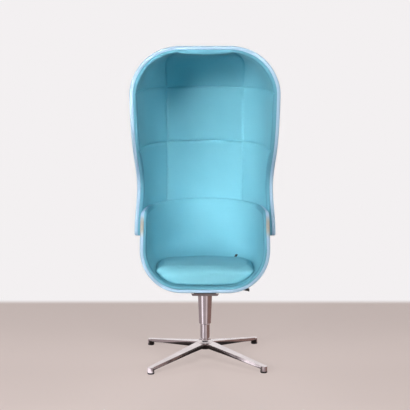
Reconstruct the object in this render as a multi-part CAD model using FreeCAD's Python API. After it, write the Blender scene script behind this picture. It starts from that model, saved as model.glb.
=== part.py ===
# A hooded swivel lounge chair: a padded tub under a tall padded hood, on a gas lift column
# and a four-armed cast base. Lengths are in millimetres and angles in degrees.
# The origin is on the floor under the column, +Z is up, and the sitter faces -Y.
import FreeCAD, Part
import math
import os
from FreeCAD import Vector

# Clearances and margins that every piece shares
running_gap = 0.05
cloth_gap = 0.3
hole_gap = 0.4
overrun = 30.0

# Plan shared by the tub and the hood: flared straight sides and half an ellipse at the back
plan_centre_y = -100.0
side_flare_deg = 3.86

# Tub
tub_half_width = 268.5
tub_back_depth = 360.0
tub_base_z = 360.0
tub_rim_z = 695.0
tub_corner_radius = 182.0
tub_shell_wall = 15.0
tub_liner_wall = 12.0
tub_front_low_y = -282.0
tub_front_high_y = -195.0
tub_arm_radius = 60.0
tub_shell_edge_radius = 4.0
tub_liner_edge_radius = 5.0

# Hood, which stands outside the tub with a gap at its sides and at its back
overall_height = 1400.0
hood_side_gap = 3.2
hood_back_gap = 11.7
hood_corner_radius = 205.0
hood_shell_wall = 15.0
hood_liner_wall = 13.0
hood_walls = hood_shell_wall + cloth_gap + hood_liner_wall
hood_half_width = tub_half_width + hood_side_gap + hood_walls
hood_back_depth = tub_back_depth + hood_back_gap + hood_walls
hood_front_y = -300.0
ceiling_fall_deg = 3.6
hood_shell_edge_radius = 4.0
hood_liner_edge_radius = 5.0

# Share of the plan's tightest curve that the roundings of tub and hood may use
corner_share = 0.92

# Side view of the hood's front edge: canopy, waist, then the wing outside each arm
waist_y = -56.0
waist_z = 778.0
wing_front_y = -158.0
wing_low_z = 588.0
wing_tip_radius = 12.0
hood_back_low_z = 512.0
hood_liner_low_z = 655.0
hood_liner_wing_y = -40.0
canopy_edge_shares = [(0.086, 0.378), (0.471, 0.720)]
wing_edge_share = (0.43, 0.41)

# Sewn channels in the hood's lining
seam_width = 4.0
seam_depth = 2.5
side_seam_x = 165.0
side_seam_rim_x = 117.0
side_seam_turn_y = 120.0
upper_seam_z = 1220.0
lower_seam_z = 964.0

# Seat cushion, tipped back a little, its webbing tab, and the hook tape that holds it
cushion_gap = 1.6
cushion_edge_rise = 60.0
cushion_crown_rise = 72.0
cushion_front_y = -268.0
cushion_front_radius = 600.0
cushion_back_y = 195.0
cushion_edge_radius = 12.0
cushion_tilt_deg = 4.0
hook_tape_thickness = 2.4
hook_tape_width = 30.0
hook_tape_length = 140.0
hook_tape_spacing = 90.0
tab_width = 18.0
tab_thickness = 4.0
tab_tuck = 20.0
tab_height = 7.0
tab_x = 130.0
tab_y = 125.0

# Column: stand tube with its bush, and the rod and washers at its foot
stand_tube_radius = 21.0
stand_tube_wall = 2.0
stand_tube_floor = 3.0
stand_tube_low_z = 56.0
stand_tube_high_z = 226.0
bush_length = 50.0
bush_flange_height = 3.0
rod_radius = 5.0
rod_low_z = 49.0
rod_groove_depth = 1.2
rod_collar_radius = 7.5
rod_collar_height = 3.0
clip_radius = 8.5
clip_height = 2.0
clip_mouth = 6.0
washer_radius = 11.0
washer_height = 1.6
thrust_washer_height = 3.0
buffer_height = 7.0
buffer_radius = 12.0
piston_low_z = 172.0
piston_height = 12.0
piston_stud_radius = 4.0
piston_nut_radius = 7.0
piston_nut_height = 5.0
piston_seal_depth = 2.0
piston_seal_height = 4.0

# Gas lift tube, its gland and its valve pin
lift_tube_radius = 14.0
lift_tube_wall = 1.5
lift_tube_low_z = 147.0
lift_tube_plug_z = 285.0
lift_tube_high_z = 322.0
lift_taper_deg = 1.5
lift_gland_height = 18.0
valve_pin_radius = 3.0
valve_pin_low_z = 290.0
valve_pin_high_z = 328.0

# Cover sleeve over the lift
sleeve_top_radius = 32.0
sleeve_bottom_radius = 26.5
sleeve_low_z = 160.0
sleeve_step = 3.0
sleeve_wall = 2.5
sleeve_flare_radius = 4.0

# Mounting plate under the lift housing
plate_half_width = 62.0
plate_half_depth = 58.0
plate_low_z = 298.0
plate_high_z = 309.0
plate_bevel = 5.0
plate_corner_radius = 6.0
plate_collar_wall = 6.0
plate_screw_spacing_x = 72.0
plate_screw_spacing_y = 60.0
plate_screw_radius = 3.0
plate_screw_head_radius = 5.6
plate_screw_head_height = 3.0

# Lift housing bolted under the tub
housing_half_width = 50.0
housing_half_depth = 44.0
housing_wall = 3.0
housing_top = 4.0
housing_flange_width = 24.0
housing_corner_radius = 8.0
housing_lug_radius = 6.5
housing_lug_height = 16.0
bolt_spacing_x = 126.0
bolt_spacing_y = 60.0
bolt_radius = 4.0
bolt_head_radius = 7.0
bolt_head_height = 5.0
tnut_flange_radius = 11.0
tnut_flange_height = 1.6
tnut_barrel_radius = 5.4
tnut_barrel_height = 9.0

# Height lever
lever_pivot_x = 22.0
lever_pivot_z = 333.0
lever_pin_radius = 3.0
lever_pin_overhang = 1.0
lever_boss_radius = 6.5
lever_half_width = 6.0
lever_side_gap = 0.3
lever_ear_wall = 4.0
lever_ear_half_depth = 8.0
lever_ear_below = 7.0
lever_nose_reach = 4.0
lever_nose_height = 7.0
lever_rod_radius = 4.0
lever_end_x = 187.0
lever_droop_deg = 3.0
lever_slot_half_width = 7.0
lever_slot_half_height = 9.0
grip_radius = 6.5
grip_length = 42.0
grip_end_radius = 4.0
grip_end_wall = 3.0

# Cast base
foot_circle_radius = 345.0
arm_count = 4
base_turn_deg = 2.5
glide_radius = 15.0
glide_height = 7.0
glide_chamfer = 1.5
glide_stem_radius = 4.0
glide_stem_length = 14.0
foot_boss_radius = 14.5
foot_top_z = 30.0
foot_edge_radius = 2.5
arm_hub_top_z = 81.0
arm_hub_width = 50.0
arm_foot_width = 23.0
arm_hub_depth = 18.0
arm_foot_depth = 13.0
arm_draft = 2.0
arm_wall = 3.5
arm_rib_width = 8.0
arm_rib_hub_z = 49.0
arm_rib_foot_z = 17.0
hub_radius = 36.0
hub_low_z = 62.0
hub_shoulder = 5.0
hub_boss_radius = 27.0
hub_boss_low_z = 47.0
hub_lip_width = 3.0
hub_collar_wall = 3.5
hub_collar_height = 3.0
hub_flare_radius = 9.0

# Hood fixings: bolts from inside the tub, through spacers, into inserts in the hood
side_fixing_deg = 20.0
side_fixing_z = 620.0
back_fixing_deg = 64.0
back_fixing_z = 570.0
spacer_radius = 17.0
fixing_bolt_radius = 3.0
fixing_head_radius = 5.5
fixing_head_height = 3.2
fixing_head_sink = 1.0
insert_radius = 6.0
insert_length = 10.0

side_flare = math.radians(side_flare_deg)
ceiling_fall = math.radians(ceiling_fall_deg)
tub_inset_inside_shell = tub_shell_wall + cloth_gap
tub_inset_inside_liner = tub_inset_inside_shell + tub_liner_wall
hood_inset_inside_shell = hood_shell_wall + cloth_gap
hood_inset_inside_liner = hood_inset_inside_shell + hood_liner_wall
tub_floor_z = tub_base_z + tub_inset_inside_liner
hood_back_y = plan_centre_y + hood_back_depth
plan_front_y = min(hood_front_y, tub_front_low_y) - overrun
axis_z = Vector(0, 0, 1)


# Plain solids

def cylinder(radius, low_z, high_z, x=0.0, y=0.0):
    """An upright cylinder between two heights."""
    return Part.makeCylinder(radius, high_z - low_z, Vector(x, y, low_z), axis_z)


def block(half_width, half_depth, low_z, high_z, x=0.0, y=0.0):
    """An upright block centred on x and y."""
    corner = Vector(x - half_width, y - half_depth, low_z)
    return Part.makeBox(2 * half_width, 2 * half_depth, high_z - low_z, corner)


def turned(profile):
    """A solid turned about the column from a closed outline of (radius, height) points."""
    points = [Vector(radius, 0, height) for radius, height in profile]
    points.append(points[0])
    return turned_wire(Part.makePolygon(points))


def turned_wire(wire):
    """A solid turned about the column from a closed wire in the XZ plane."""
    return Part.Face(wire).revolve(Vector(0, 0, 0), axis_z, 360)


def ring(inner_radius, outer_radius, low_z, high_z):
    """A plain ring about the column."""
    return cylinder(outer_radius, low_z, high_z).cut(cylinder(inner_radius, low_z, high_z))


def rounded_wire(corners):
    """A closed wire through (point, radius) corners, each rounded by an arc of its radius."""
    count = len(corners)
    starts, arcs, ends = [], [], []
    for index, (point, radius) in enumerate(corners):
        before = (corners[index - 1][0] - point).normalize()
        after = (corners[(index + 1) % count][0] - point).normalize()
        if radius == 0:
            starts.append(point)
            ends.append(point)
            arcs.append(None)
            continue
        half_turn = before.getAngle(after) / 2
        reach = radius / math.tan(half_turn)
        start, end = point + before * reach, point + after * reach
        bisector = (before + after).normalize()
        middle = point + bisector * (radius / math.sin(half_turn) - radius)
        starts.append(start)
        ends.append(end)
        arcs.append(Part.Arc(start, middle, end).toShape())
    edges = []
    for index in range(count):
        if arcs[index] is not None:
            edges.append(arcs[index])
        edges.append(Part.makeLine(ends[index], starts[(index + 1) % count]))
    return Part.Wire(edges)


# Plans and closed bodies of the tub and the hood

def ellipse_arc(half_width, half_depth, z, start, end):
    """Part of the plan ellipse, its angles counted from +X towards +Y."""
    centre = Vector(0, plan_centre_y, z)
    side = Vector(half_width, plan_centre_y, z)
    back = Vector(0, plan_centre_y + half_depth, z)
    if half_depth >= half_width:
        ellipse = Part.Ellipse(back, centre + (centre - side), centre)
        shift = math.pi / 2
    else:
        ellipse = Part.Ellipse(side, back, centre)
        shift = 0
    return Part.ArcOfEllipse(ellipse, start - shift, end - shift).toShape()


def flare_angle(half_width, half_depth):
    """Where on the plan ellipse the straight flared side leaves it."""
    return math.atan(math.tan(side_flare) * half_depth / half_width)


def plan_point(half_width, half_depth, angle, z):
    """A point of the plan ellipse."""
    x = half_width * math.cos(angle)
    return Vector(x, plan_centre_y + half_depth * math.sin(angle), z)


def plan_wire(half_width, half_depth, front_y, z):
    """Closed plan outline: elliptical back, flared sides and a straight front."""
    leave = flare_angle(half_width, half_depth)
    side = plan_point(half_width, half_depth, leave, z)
    corner = Vector(side.x + math.tan(side_flare) * (side.y - front_y), front_y, z)
    edges = [ellipse_arc(half_width, half_depth, z, leave, math.pi / 2)]
    edges.append(ellipse_arc(half_width, half_depth, z, math.pi / 2, math.pi - leave))
    corners = [Vector(-side.x, side.y, z), Vector(-corner.x, front_y, z), corner, side]
    for first, second in zip(corners, corners[1:]):
        edges.append(Part.makeLine(first, second))
    return Part.Wire(edges)


def is_on(edge, test):
    """Whether the start, the middle and the end of an edge all pass a test."""
    first, last = edge.FirstParameter, edge.LastParameter
    places = [first, (first + last) / 2, last]
    return all(test(edge.valueAt(place)) for place in places)


def at_plan_front(point):
    """Whether a point lies on the cut-off front of a closed body."""
    return abs(point.y - plan_front_y) < cloth_gap


def corner_radius(wanted, half_width, half_depth):
    """A rounding between wall and cap, kept below the tightest curve of the plan."""
    tightest = min(half_width ** 2 / half_depth, half_depth ** 2 / half_width)
    return min(wanted, corner_share * tightest)


def tub_body(inset):
    """The tub as a closed body, drawn in from its outside by the inset."""
    low_z = tub_base_z + inset
    wire = plan_wire(tub_half_width - inset, tub_back_depth - inset, plan_front_y, low_z)
    body = Part.Face(wire).extrude(Vector(0, 0, tub_rim_z + overrun - low_z))

    def at_floor(point):
        return abs(point.z - low_z) < cloth_gap / 2

    edges = [edge for edge in body.Edges if is_on(edge, at_floor) and not is_on(edge, at_plan_front)]
    radius = corner_radius(tub_corner_radius, tub_half_width, tub_back_depth)
    return body.makeFillet(radius - inset, edges)


def hood_body(inset):
    """The hood as a closed body with its rounded, slightly falling top."""
    low_z = hood_back_low_z - overrun
    wire = plan_wire(hood_half_width - inset, hood_back_depth - inset, plan_front_y, low_z)
    body = Part.Face(wire).extrude(Vector(0, 0, overall_height + overrun - low_z))

    def ceiling_z(y):
        drop = (y - hood_front_y) * math.tan(ceiling_fall)
        return overall_height - inset / math.cos(ceiling_fall) - drop

    def at_ceiling(point):
        return abs(point.z - ceiling_z(point.y)) < cloth_gap / 2

    reach = hood_half_width + hood_back_depth
    x = -reach
    above = 2 * overall_height
    outline = [Vector(x, -reach, ceiling_z(-reach)), Vector(x, reach, ceiling_z(reach)),
               Vector(x, reach, above), Vector(x, -reach, above)]
    outline.append(outline[0])
    body = body.cut(Part.Face(Part.makePolygon(outline)).extrude(Vector(2 * reach, 0, 0)))
    edges = [edge for edge in body.Edges
             if is_on(edge, at_ceiling) and not is_on(edge, at_plan_front)]
    radius = corner_radius(hood_corner_radius, hood_half_width, hood_back_depth)
    return body.makeFillet(radius - inset, edges)


# Side views, drawn at the far left and extruded across the chair

side_reach = hood_half_width + hood_back_depth


def side_point(y, z):
    """A point of a side view."""
    return Vector(-side_reach, y, z)


def across(wire):
    """Extrude a side view right across the chair."""
    return Part.Face(wire).extrude(Vector(2 * side_reach, 0, 0))


def tub_outline():
    """Side view of the tub: level rim, rounded arm front and a front edge leaning out."""
    lean = (tub_front_high_y - tub_front_low_y) / (tub_rim_z - tub_base_z)
    below_z = tub_base_z - overrun
    below_y = tub_front_low_y - lean * overrun
    corners = [(side_point(tub_front_high_y, tub_rim_z), tub_arm_radius),
               (side_point(side_reach, tub_rim_z), 0),
               (side_point(side_reach, below_z), 0),
               (side_point(below_y, below_z), 0)]
    return rounded_wire(corners)


def hood_rim_wire():
    """The hood's free edge in side view: canopy, waist, wing, its tip and the lower edge."""
    points = [side_point(hood_front_y, overall_height)]
    for y_share, z_share in canopy_edge_shares:
        y = hood_front_y + y_share * (waist_y - hood_front_y)
        points.append(side_point(y, overall_height + z_share * (waist_z - overall_height)))
    points.append(side_point(waist_y, waist_z))
    up = Vector(0, 0, 1)
    tip = side_point(wing_front_y, wing_low_z)
    slope = Vector(0, hood_back_y - wing_front_y, hood_back_low_z - wing_low_z).normalize()
    half_turn = up.getAngle(slope) / 2
    reach = wing_tip_radius / math.tan(half_turn)
    bisector = (up + slope).normalize()
    middle = tip + bisector * (wing_tip_radius / math.sin(half_turn) - wing_tip_radius)
    wing_start, lower_start = tip + up * reach, tip + slope * reach
    y_share, z_share = wing_edge_share
    y = waist_y + y_share * (wing_front_y - waist_y)
    points.append(side_point(y, waist_z + z_share * (wing_start.z - waist_z)))
    points.append(wing_start)
    curve = Part.BSplineCurve()
    curve.interpolate(points, InitialTangent=-up, FinalTangent=-up)
    lower_end = tip + slope * (side_reach / slope.y)
    edges = [curve.toShape(), Part.Arc(wing_start, middle, lower_start).toShape()]
    edges.append(Part.makeLine(lower_start, lower_end))
    return Part.Wire(edges)


def hood_side():
    """Side view of the hood: everything behind and above its free edge."""
    rim = hood_rim_wire()
    lower_end = rim.OrderedVertexes[-1].Point
    above_z = overall_height + overrun
    path = [lower_end, side_point(lower_end.y, above_z), side_point(hood_front_y, above_z),
            side_point(hood_front_y, overall_height)]
    edges = list(rim.OrderedEdges)
    for first, second in zip(path, path[1:]):
        edges.append(Part.makeLine(first, second))
    return across(Part.Wire(edges))


def edges_on_rim(body, rim):
    """The edges of a body that lie on a rim drawn in side view, whatever their X."""
    tolerance = cloth_gap / 2

    def on_rim(point):
        vertex = Part.Vertex(side_point(point.y, point.z))
        return rim.distToShape(vertex)[0] < tolerance

    return [edge for edge in body.Edges if is_on(edge, on_rim)]


# Hood

def sewn_channels(inset):
    """Thin blocks that cut the hood lining's sewn channels, seam_depth deep from its inside."""
    grown = hood_body(inset - seam_depth)
    half = seam_width / 2
    reach = 2 * side_reach
    cutters = []
    for z in (lower_seam_z, upper_seam_z):
        cutters.append(block(reach, reach, z - half, z + half))
    for side in (-1, 1):
        plan = [(side_seam_x - half, hood_back_y), (side_seam_x - half, side_seam_turn_y),
                (side_seam_rim_x - half, plan_front_y), (side_seam_rim_x + half, plan_front_y),
                (side_seam_x + half, side_seam_turn_y), (side_seam_x + half, hood_back_y)]
        points = [Vector(side * x, y, hood_back_low_z) for x, y in plan]
        points.append(points[0])
        face = Part.Face(Part.makePolygon(points))
        cutters.append(face.extrude(Vector(0, 0, overall_height)))
    return grown.common(cutters[0].fuse(cutters[1:]))


def make_hood_shell(fixing_holes):
    """The hood's upholstered outer shell."""
    shell = hood_body(0).cut(hood_body(hood_shell_wall))
    shell = shell.common(hood_side())
    edges = edges_on_rim(shell, hood_rim_wire())
    shell = shell.makeFillet(hood_shell_edge_radius, edges)
    return shell.cut(fixing_holes)


def make_hood_liner():
    """The hood's padded lining with its sewn channels, down each wing and behind the tub's rim."""
    liner = hood_body(hood_inset_inside_shell).cut(hood_body(hood_inset_inside_liner))
    above = block(side_reach, side_reach, hood_liner_low_z, 2 * overall_height)
    wings = block(side_reach, side_reach, 0, 2 * overall_height, 0, hood_liner_wing_y - side_reach)
    liner = liner.common(hood_side()).common(above.fuse(wings))
    edges = edges_on_rim(liner, hood_rim_wire())
    liner = liner.makeFillet(hood_liner_edge_radius, edges)
    return liner.cut(sewn_channels(hood_inset_inside_liner))


# Tub and cushion

def make_tub_shell(fixing_holes):
    """The tub's upholstered outer shell."""
    shell = tub_body(0).cut(tub_body(tub_shell_wall)).common(across(tub_outline()))
    shell = shell.makeFillet(tub_shell_edge_radius, edges_on_rim(shell, tub_outline()))
    return shell.cut(fixing_holes)


def make_tub_liner():
    """The tub's padded lining."""
    liner = tub_body(tub_inset_inside_shell).cut(tub_body(tub_inset_inside_liner))
    liner = liner.common(across(tub_outline()))
    return liner.makeFillet(tub_liner_edge_radius, edges_on_rim(liner, tub_outline()))


def cushion_crown():
    """Centre and radius of the crowned top, which tips back about the cushion's middle."""
    half_width = tub_half_width - tub_inset_inside_liner
    crown = cushion_crown_rise - cushion_edge_rise
    radius = (half_width ** 2 + crown ** 2) / (2 * crown)
    tilt = math.radians(cushion_tilt_deg)
    middle_y = (cushion_front_y + cushion_back_y) / 2
    top_z = tub_floor_z + cushion_crown_rise
    return Vector(0, middle_y - radius * math.sin(tilt), top_z - radius * math.cos(tilt)), radius


def make_seat_cushion():
    """A crowned loose cushion whose underside follows the tub's rounded bowl."""
    cushion = tub_body(tub_inset_inside_liner + cushion_gap)
    cushion.translate(Vector(0, 0, hook_tape_thickness - cushion_gap))
    front_centre = Vector(0, cushion_front_y + cushion_front_radius, 0)
    front = Part.makeCylinder(cushion_front_radius, overall_height, front_centre)
    centre, crown_radius = cushion_crown()
    ball = Part.makeSphere(crown_radius, centre)
    ball.rotate(centre, Vector(1, 0, 0), 90)
    cushion = cushion.common(front).common(ball)

    def at_front(point):
        spoke = math.hypot(point.x, point.y - front_centre.y)
        return abs(spoke - cushion_front_radius) < cloth_gap

    def at_crown(point):
        return abs((point - centre).Length - crown_radius) < cloth_gap

    edges = [edge for edge in cushion.Edges if is_on(edge, at_front) or is_on(edge, at_crown)]
    return cushion.makeFillet(cushion_edge_radius, edges)


def make_cushion_tab(cushion):
    """A short webbing tab tucked up between the cushion's rear edge and the lining."""
    inset = tub_inset_inside_liner + cloth_gap
    centre, crown_radius = cushion_crown()
    edge_z = centre.z + math.sqrt(crown_radius ** 2 - tab_x ** 2 - (tab_y - centre.y) ** 2)
    tab = block(tab_width / 2, hood_back_y / 2, edge_z - tab_tuck, edge_z + tab_height, tab_x,
                hood_back_y / 2)
    return tab.common(tub_body(inset)).cut(tub_body(inset + tab_thickness)).cut(cushion)


def make_hook_tapes():
    """Two strips of hook tape between the tub's floor and the cushion."""
    strips = []
    for side in (-1, 1):
        strips.append(block(hook_tape_width / 2, hook_tape_length / 2, tub_floor_z,
                            tub_floor_z + hook_tape_thickness,
                            side * hook_tape_spacing / 2, plan_centre_y))
    return Part.makeCompound(strips)


# Hood fixings

def fixing_places():
    """Each fixing's point on the tub's outside and its outward direction."""
    places = []
    fixings = [(side_fixing_deg, side_fixing_z), (back_fixing_deg, back_fixing_z)]
    for degrees, z in fixings:
        angle = math.radians(degrees)
        point = plan_point(tub_half_width, tub_back_depth, angle, z)
        outward = Vector(math.cos(angle) / tub_half_width, math.sin(angle) / tub_back_depth, 0)
        outward.normalize()
        places.append((point, outward))
        places.append((Vector(-point.x, point.y, z), Vector(-outward.x, outward.y, 0)))
    return places


def along_fixing(place, radius, start, end):
    """A round bar along a fixing, between two distances from the tub's outside."""
    point, outward = place
    return Part.makeCylinder(radius, end - start, point + outward * start, outward)


def fixing_span(place, hood_core):
    """The distance from the tub's outside to the inside of the hood's shell."""
    point, outward = place
    line = Part.makeLine(point, point + outward * (hood_half_width - tub_half_width + spacer_radius))
    return line.common(hood_core).Length


def make_fixings():
    """Spacers, bolts and inserts of the hood, and the holes that they need in both shells."""
    hood_core = hood_body(hood_shell_wall)
    between = hood_body(hood_shell_wall + cloth_gap).cut(tub_body(-cloth_gap))
    spacers, bolts, inserts, tub_holes, hood_holes = [], [], [], [], []
    head = fixing_head_sink - tub_shell_wall
    for place in fixing_places():
        span = fixing_span(place, hood_core)
        far = span + insert_length
        hole_radius = fixing_bolt_radius + hole_gap
        hole = along_fixing(place, hole_radius, -2 * tub_shell_wall, span + hood_shell_wall)
        spacer = along_fixing(place, spacer_radius, -tub_shell_wall, span + hood_shell_wall)
        seat = along_fixing(place, insert_radius + running_gap, span, far)
        spacers.append(spacer.common(between).cut(hole).cut(seat))
        shank = along_fixing(place, fixing_bolt_radius, head, far - fixing_head_sink)
        bolts.append(shank.fuse(along_fixing(place, fixing_head_radius, head,
                                             head + fixing_head_height)))
        sleeve = along_fixing(place, insert_radius, span + fixing_head_sink, far)
        inserts.append(sleeve.cut(along_fixing(place, fixing_bolt_radius + running_gap, 0, far)))
        tub_holes.append(along_fixing(place, hole_radius, -2 * tub_shell_wall, tub_shell_wall))
        tub_holes.append(along_fixing(place, fixing_head_radius + hole_gap, -2 * tub_shell_wall,
                                      head + fixing_head_height))
        hood_holes.append(along_fixing(place, insert_radius + running_gap, -tub_shell_wall, far))
    pieces = {"hood_spacers": spacers, "hood_bolts": bolts, "hood_inserts": inserts}
    nodes = {name: Part.makeCompound(solids) for name, solids in pieces.items()}
    return nodes, Part.makeCompound(tub_holes), Part.makeCompound(hood_holes)


# Column

def make_stand_tube():
    """The thin lower tube, with a floor that the rod's bearing stands on."""
    inner = stand_tube_radius - stand_tube_wall
    floor_z = stand_tube_low_z + stand_tube_floor
    tube = cylinder(stand_tube_radius, stand_tube_low_z, stand_tube_high_z)
    tube = tube.cut(cylinder(inner, floor_z, stand_tube_high_z + overrun))
    return tube.cut(cylinder(rod_radius + hole_gap, rod_low_z, stand_tube_high_z))


def make_guide_bush():
    """The flanged bush in the stand tube's mouth that guides the lift."""
    outer = stand_tube_radius - stand_tube_wall - running_gap
    inner = lift_tube_radius + running_gap
    low_z = stand_tube_high_z - bush_length
    flange_z = stand_tube_high_z + bush_flange_height
    return turned([(inner, low_z), (outer, low_z), (outer, stand_tube_high_z),
                   (stand_tube_radius, stand_tube_high_z), (stand_tube_radius, flange_z),
                   (inner, flange_z)])


floor_top_z = stand_tube_low_z + stand_tube_floor
thrust_low_z = floor_top_z + washer_height
thrust_high_z = thrust_low_z + thrust_washer_height
collar_low_z = thrust_high_z + running_gap + washer_height
collar_high_z = collar_low_z + rod_collar_height
piston_high_z = piston_low_z + piston_height
lift_bore_radius = lift_tube_radius - lift_tube_wall
clip_high_z = stand_tube_low_z - running_gap


def washer(low_z, height):
    """A washer round the rod."""
    return ring(rod_radius + hole_gap, washer_radius, low_z, low_z + height)


def make_piston_rod():
    """The rod: clip groove, collar on the bearing, and a stud for the piston."""
    groove = rod_radius - rod_groove_depth
    clip_low_z = clip_high_z - clip_height - running_gap
    stud_z = piston_high_z + piston_nut_height + piston_seal_depth
    return turned([(0, rod_low_z), (rod_radius, rod_low_z), (rod_radius, clip_low_z),
                   (groove, clip_low_z), (groove, clip_high_z), (rod_radius, clip_high_z),
                   (rod_radius, collar_low_z), (rod_collar_radius, collar_low_z),
                   (rod_collar_radius, collar_high_z), (rod_radius, collar_high_z),
                   (rod_radius, piston_low_z), (piston_stud_radius, piston_low_z),
                   (piston_stud_radius, stud_z), (0, stud_z)])


def make_rod_clip():
    """The open retaining clip under the stand tube."""
    inner = rod_radius - rod_groove_depth + running_gap
    clip = ring(inner, clip_radius, clip_high_z - clip_height, clip_high_z)
    mouth = block(clip_mouth / 2, clip_radius, rod_low_z, stand_tube_high_z, 0, -clip_radius)
    return clip.cut(mouth)


def make_piston_head():
    """The piston, grooved for its seal."""
    outer = lift_bore_radius - running_gap
    piston = ring(piston_stud_radius + running_gap, outer, piston_low_z, piston_high_z)
    middle_z = (piston_low_z + piston_high_z) / 2
    half = piston_seal_height / 2
    return piston.cut(ring(outer - piston_seal_depth, outer + overrun, middle_z - half,
                           middle_z + half))


def make_piston_seal():
    """The seal ring in the piston's groove."""
    outer = lift_bore_radius - running_gap
    middle_z = (piston_low_z + piston_high_z) / 2
    half = piston_seal_height / 2 - running_gap
    return ring(outer - piston_seal_depth + running_gap, outer, middle_z - half, middle_z + half)


def hexagon(radius, low_z, high_z, x=0.0, y=0.0):
    """A hexagonal prism of a given corner radius."""
    points = []
    for index in range(6):
        angle = math.radians(60 * index)
        points.append(Vector(x + radius * math.cos(angle), y + radius * math.sin(angle), low_z))
    points.append(points[0])
    return Part.Face(Part.makePolygon(points)).extrude(Vector(0, 0, high_z - low_z))


def make_piston_nut():
    """The nut that holds the piston on its stud."""
    nut = hexagon(piston_nut_radius, piston_high_z, piston_high_z + piston_nut_height)
    return nut.cut(cylinder(piston_stud_radius + running_gap, piston_low_z, lift_tube_plug_z))


def lift_cone(gap):
    """The lift tube's outside near its tapered top, grown by a gap."""
    top = lift_tube_radius - (lift_tube_high_z - plate_low_z) * math.tan(math.radians(lift_taper_deg))
    return Part.makeCone(lift_tube_radius + gap, top + gap, lift_tube_high_z - plate_low_z,
                         Vector(0, 0, plate_low_z), axis_z)


def make_lift_tube():
    """The lift's pressure tube, plugged above and tapered where the plate holds it."""
    tube = cylinder(lift_tube_radius, lift_tube_low_z, plate_low_z).fuse(lift_cone(0))
    tube = tube.cut(cylinder(lift_bore_radius, lift_tube_low_z - overrun, lift_tube_plug_z))
    pin_bore = cylinder(valve_pin_radius + running_gap, lift_tube_low_z, lift_tube_high_z + overrun)
    return tube.cut(pin_bore)


def make_lift_gland():
    """The rod's guide and seal at the pressure tube's mouth."""
    return ring(rod_radius + running_gap, lift_bore_radius - running_gap, lift_tube_low_z,
                lift_tube_low_z + lift_gland_height)


def make_valve_pin():
    """The domed pin that the lever presses to free the lift."""
    dome_z = valve_pin_high_z - valve_pin_radius
    pin = cylinder(valve_pin_radius, valve_pin_low_z, dome_z)
    return pin.fuse(Part.makeSphere(valve_pin_radius, Vector(0, 0, dome_z)))


def sleeve_radius(z):
    """The cover sleeve's outer radius at a height."""
    low_z = sleeve_low_z + sleeve_step
    share = (z - low_z) / (plate_low_z - low_z)
    return sleeve_bottom_radius + share * (sleeve_top_radius - sleeve_bottom_radius)


def make_cover_sleeve():
    """The polished tapered sleeve, flared into the plate and stepped in at its foot."""
    lip_radius = stand_tube_radius + hole_gap
    low_z = sleeve_low_z + sleeve_step
    lip_z = low_z + sleeve_step
    flare_z = plate_low_z - sleeve_flare_radius
    flare_radius = sleeve_radius(plate_low_z) + sleeve_flare_radius
    shrink = sleeve_flare_radius * (1 - math.sqrt(0.5))
    points = [Vector(lip_radius, 0, sleeve_low_z),
              Vector(sleeve_bottom_radius - sleeve_step, 0, sleeve_low_z),
              Vector(sleeve_bottom_radius, 0, low_z),
              Vector(sleeve_radius(flare_z), 0, flare_z),
              Vector(flare_radius, 0, plate_low_z),
              Vector(sleeve_radius(plate_low_z) - sleeve_wall, 0, plate_low_z),
              Vector(sleeve_radius(lip_z) - sleeve_wall, 0, lip_z),
              Vector(lip_radius, 0, lip_z)]
    middle = Vector(sleeve_radius(flare_z) + shrink, 0, plate_low_z - shrink)
    edges = []
    for index, point in enumerate(points):
        after = points[(index + 1) % len(points)]
        if index == 3:
            edges.append(Part.Arc(point, middle, after).toShape())
        else:
            edges.append(Part.makeLine(point, after))
    return turned_wire(Part.Wire(edges))


# Mounting plate, housing and bolts

def corner_places(spacing_x, spacing_y):
    """The four corners of a rectangle about the column."""
    return [(side * spacing_x / 2, end * spacing_y / 2) for side in (-1, 1) for end in (-1, 1)]


def rounded_plan(half_width, half_depth, radius, z):
    """A rectangular outline with rounded corners."""
    corners = [(-half_width, -half_depth), (half_width, -half_depth),
               (half_width, half_depth), (-half_width, half_depth)]
    return rounded_wire([(Vector(x, y, z), radius) for x, y in corners])


def countersunk(low_z, high_z, gap, x, y):
    """A countersunk screw's outside, head down, grown by a gap."""
    radius, head = plate_screw_radius + gap, plate_screw_head_radius + gap
    cone = Part.makeCone(head, radius, plate_screw_head_height, Vector(x, y, low_z), axis_z)
    return cone.fuse(cylinder(radius, low_z, high_z, x, y))


screw_tip_z = plate_high_z + housing_lug_height - housing_wall


def make_mount_plate():
    """The bevelled plate whose collar grips the lift, with countersunk screw holes."""
    low = rounded_plan(plate_half_width - plate_bevel, plate_half_depth - plate_bevel,
                       plate_corner_radius, plate_low_z)
    high = rounded_plan(plate_half_width, plate_half_depth, plate_corner_radius, plate_high_z)
    plate = Part.makeLoft([low, high], True, True)
    collar_radius = lift_tube_radius + plate_collar_wall
    plate = plate.fuse(cylinder(collar_radius, plate_low_z, lift_tube_high_z))
    plate = plate.cut(lift_cone(running_gap))
    for x, y in corner_places(plate_screw_spacing_x, plate_screw_spacing_y):
        plate = plate.cut(countersunk(plate_low_z, screw_tip_z, hole_gap, x, y))
    return plate.removeSplitter()


def make_plate_screws():
    """Four countersunk screws from the plate up into the housing's lugs."""
    screws = []
    for x, y in corner_places(plate_screw_spacing_x, plate_screw_spacing_y):
        screws.append(countersunk(plate_low_z + cloth_gap, screw_tip_z, 0, x, y))
    return Part.makeCompound(screws)


def along_y(radius, half_length, x, z):
    """A round bar across the chair's depth."""
    return Part.makeCylinder(radius, 2 * half_length, Vector(x, -half_length, z), Vector(0, 1, 0))


pin_half_length = lever_half_width + lever_side_gap + lever_ear_wall + lever_pin_overhang


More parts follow.
